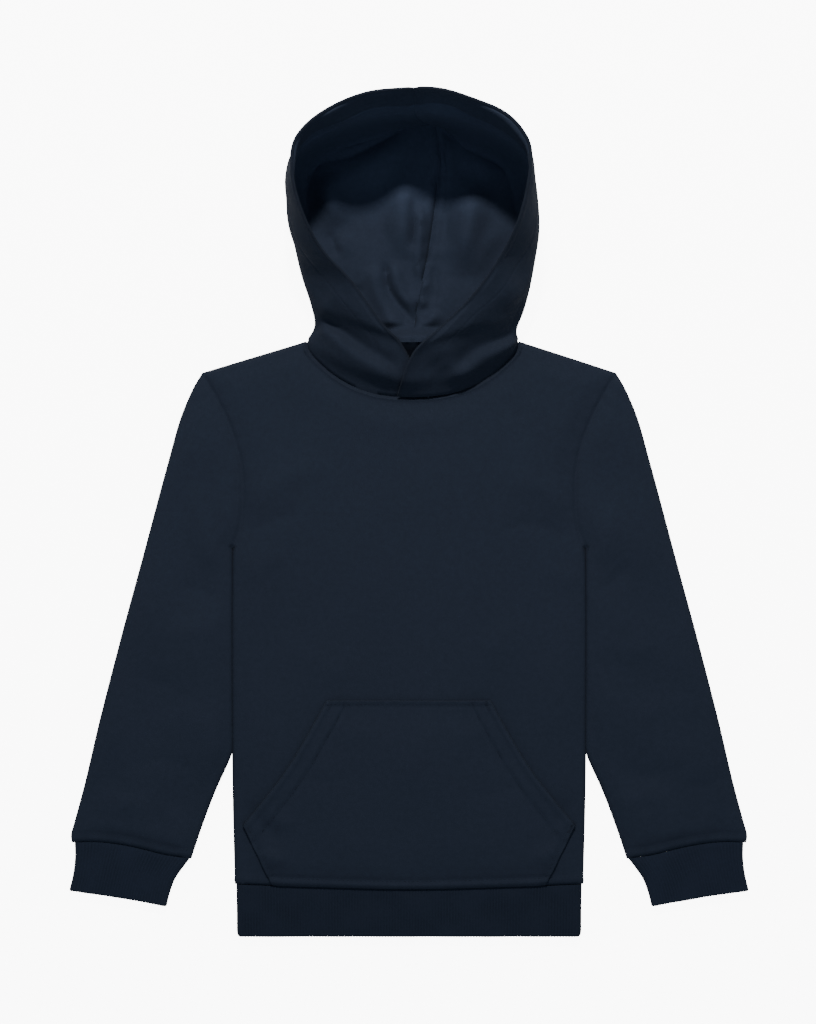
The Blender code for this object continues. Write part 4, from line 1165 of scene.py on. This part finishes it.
def sewn(name, rows, seed, values={}):
    # one piece of stitching from several rows of (place, normal)
    points, edges, lifts = [], [], []
    for row in rows:
        start = len(points)
        points += [place - normal * sewing["underBelow"] * mm for place, normal in row]
        lifts += [tuple(normal) for _, normal in row]
        edges += [(start + k, start + k + 1) for k in range(len(row) - 1)]
    mesh = bpy.data.meshes.new(name)
    mesh.from_pydata(points, edges, [])
    layer = mesh.attributes.new("lift", "FLOAT_VECTOR", "POINT")
    layer.data.foreach_set("vector", np.array(lifts).ravel())
    size = {**sewing, **values}
    asked = {label: size[label.lower()] * mm for label in ("Pitch", "Length", "Width", "Height")}
    asked.update({"Unevenness": size["unevenness"], "Seed": seed, "Thread": thread})
    return grown(placed(name, mesh), stitchRowTree, asked, thread)


def shortened(run, start, end):
    return walk(run, np.linspace(start / span(run), 1 - end / span(run), 200))


def bartack(at, angle, length):
    # short rows side by side, each a little apart
    along = np.array((math.cos(math.radians(angle)), math.sin(math.radians(angle))))
    across = np.array((-along[1], along[0]))
    count, gap = sewing["tackRows"], sewing["tackGap"]
    middles = [at + across * gap * (k - count / 2) for k in range(count)]
    return [np.array((place - along * length / 2, place + along * length / 2)) for place in middles]


def seamRows(faces, neck, above):
    # the topstitching beside a body panel's hem and neck
    runs = beside(hemSeam, body["hemStitch"]), beside(neck, -body["neckStitch"])
    return [laidOn(faces, shortened(run, 4, 4), above) for run in runs]


frontFaces, backFaces = faceTree(frontBody, pouchPocket), faceTree(backBody)
pocketOpen = smoothRun(pocket["opening"])
lowerSide = shortened(beside(smoothRun(pocket["lowerSide"]), pocket["topStitch"]), 3, 0)
openingHem = shortened(beside(pocketOpen, pocket["hemWidth"]), 4, 6)
topCorner = pocketOpen[-1] - (0.0, pocket["topStitch"])
pocketRows, tacks = [laidOn(frontFaces, np.array((mirrored(topCorner), topCorner)))], []
for side in (-1, 1):
    pocketRows += [laidOn(frontFaces, run * (side, 1)) for run in (openingHem, lowerSide)]
    for at, angle, length in pocket["tacks"]:
        tacks += [laidOn(frontFaces, row * (side, 1), step=0.5)
                  for row in bartack(np.array(at), angle, length)]
stitching = [   # stitches, the node that they belong to, the piece that they are sewn on
    (sewn("frontStitches", seamRows(frontFaces, frontNeck, True), 2), "front_body", frontBody),
    (sewn("pocketStitches", pocketRows, 3), "pouch_pocket", pouchPocket),
    (sewn("pocketTacks", tacks, 4, {"pitch": 0.75, "length": 1.1, "width": 0.55, "height": 0.5}),
     "pouch_pocket", pouchPocket),
    (sewn("backStitches", seamRows(backFaces, backNeck, False), 5), "back_body", backBody),
]
cuffStitch = shortened(beside(smoothRun(outline["cuffSeam"]), sleeve["cuffStitch"]), 4, 4)
for name, piece, cadNode, side in (("leftSleeveStitches", leftSleeve, "sleeve_left", -1),
                                   ("rightSleeveStitches", rightSleeve, "sleeve_right", 1)):
    rows = [laidOn(faceTree(piece), cuffStitch * (side, 1), above) for above in (True, False)]
    stitching.append((sewn(name, rows, 6 + side), cadNode, piece))


def onForm(form, distance, key, facing):
    # the line on a hood panel that lies a set way in from its rim
    row = []
    for across, *lines in zip(form["fromRim"], form[key], form["normals"]):
        place, normal = (np.array([np.interp(distance, across, axis) for axis in line.T])
                         for line in lines)
        row.append((Vector(laidOut(place)), Vector(unit(normal) * facing)))
    return row


for name, piece, form, cadNode, seed in (
        ("leftHoodStitches", leftHood, leftForm, "hood_left", 8),
        ("rightHoodStitches", rightHood, rightForm, "hood_right", 9)):
    rows = [onForm(form, hood["rimStitch"], key, facing)
            for key, facing in (("grid", 1), ("inner", -1))]
    stitching.append((sewn(name, rows, seed), cadNode, piece))
print("stitching made")

stageLook = {
    "floor": (40.0, -0.0004), "colour": (0.86, 0.86, 0.86, 1.0), "glow": 9.0,
    "world": 0.41, "sky": (0.78, 0.89, 1.0, 1.0),
    "lens": 107.18, "sensor": 36.0, "eye": (-0.00036, 0.0076, 2.2),
    "lights": [   # name, place, target, power, size, colour
        ("key", (-0.05, 0.925, 1.1), (0.0, 0.06, 0.0), 16.2, 0.09, (1.0, 0.95, 0.89)),
        ("fill", (0.25, -1.1, 1.5), (0.0, 0.15, 0.0), 1.4, 1.4, (0.80, 0.90, 1.0)),
    ],
}
floorMesh = bpy.data.meshes.new("floor")
wide, level = stageLook["floor"]
corners = [(-wide, -wide, level), (wide, -wide, level), (wide, wide, level), (-wide, wide, level)]
floorMesh.from_pydata(corners, [], [(0, 1, 2, 3)])
floor = placed("floor", floorMesh)
paper = bpy.data.materials.new("paper")
paper.use_nodes = True
paperShader = paper.node_tree.nodes["Principled BSDF"]
for label, value in (("Base Color", stageLook["colour"]), ("Roughness", 0.9),
                     ("Emission Color", (1.0, 1.0, 1.0, 1.0))):
    paperShader.inputs[label].default_value = value
# the paper is white to look at and lights nothing
seen = node(paper.node_tree, "ShaderNodeLightPath").outputs["Is Camera Ray"]
glow = calc(paper.node_tree, "MULTIPLY", seen, stageLook["glow"])
paper.node_tree.links.new(glow, paperShader.inputs["Emission Strength"])
floorMesh.materials.append(paper)

world = bpy.data.worlds.new("studio")
world.use_nodes = True
sky = world.node_tree.nodes["Background"]
sky.inputs["Color"].default_value = stageLook["sky"]
sky.inputs["Strength"].default_value = stageLook["world"]
bpy.context.scene.world = world

for name, place, target, power, size, colour in stageLook["lights"]:
    lamp = bpy.data.lights.new(name, "AREA")
    lamp.energy, lamp.size, lamp.color = power, size, colour
    light = placed(name, lamp)
    light.location = place
    light.rotation_euler = (Vector(target) - Vector(place)).to_track_quat("-Z", "Y").to_euler()

camera = bpy.data.cameras.new("camera")
camera.lens, camera.sensor_width = stageLook["lens"], stageLook["sensor"]
eye = placed("camera", camera)
eye.location = stageLook["eye"]
bpy.context.scene.camera = eye

# piece, node, slot, width and length of what shows of its cut, its flat area, what it lies on
pieces = [
    (frontBody, "front_body", "fleece", (0.297, 0.394), 0.0955, [backBody]),
    (backBody, "back_body", "fleece", (0.297, 0.394), 0.0998, [floor]),
    (leftSleeve, "sleeve_left", "fleece", (0.174, 0.376), 0.0490, [floor]),
    (rightSleeve, "sleeve_right", "fleece", (0.174, 0.376), 0.0490, [floor]),
    (cuffs[0], "cuff_left", "rib_knit", (0.166, 0.038), 0.0057, [floor]),
    (cuffs[1], "cuff_right", "rib_knit", (0.166, 0.038), 0.0057, [floor]),
    (hemBand, "hem_band", "rib_knit", (0.496, 0.038), 0.0188, [floor]),
    (pouchPocket, "pouch_pocket", "fleece", (0.238, 0.133), 0.0248, [frontBody]),
    (leftHood, "hood_left", "fleece", (0.215, 0.300), 0.0355, [floor, frontBody, backBody]),
    (rightHood, "hood_right", "fleece", (0.215, 0.300), 0.0330, [floor, frontBody, backBody]),
]
carried = [row[:3] for row in pieces]
carried += [(piece, cadNode, "fleece") for piece, cadNode, _ in stitching]
for piece, cadNode, slot in carried:
    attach(piece, "root")
    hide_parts(cadNode)
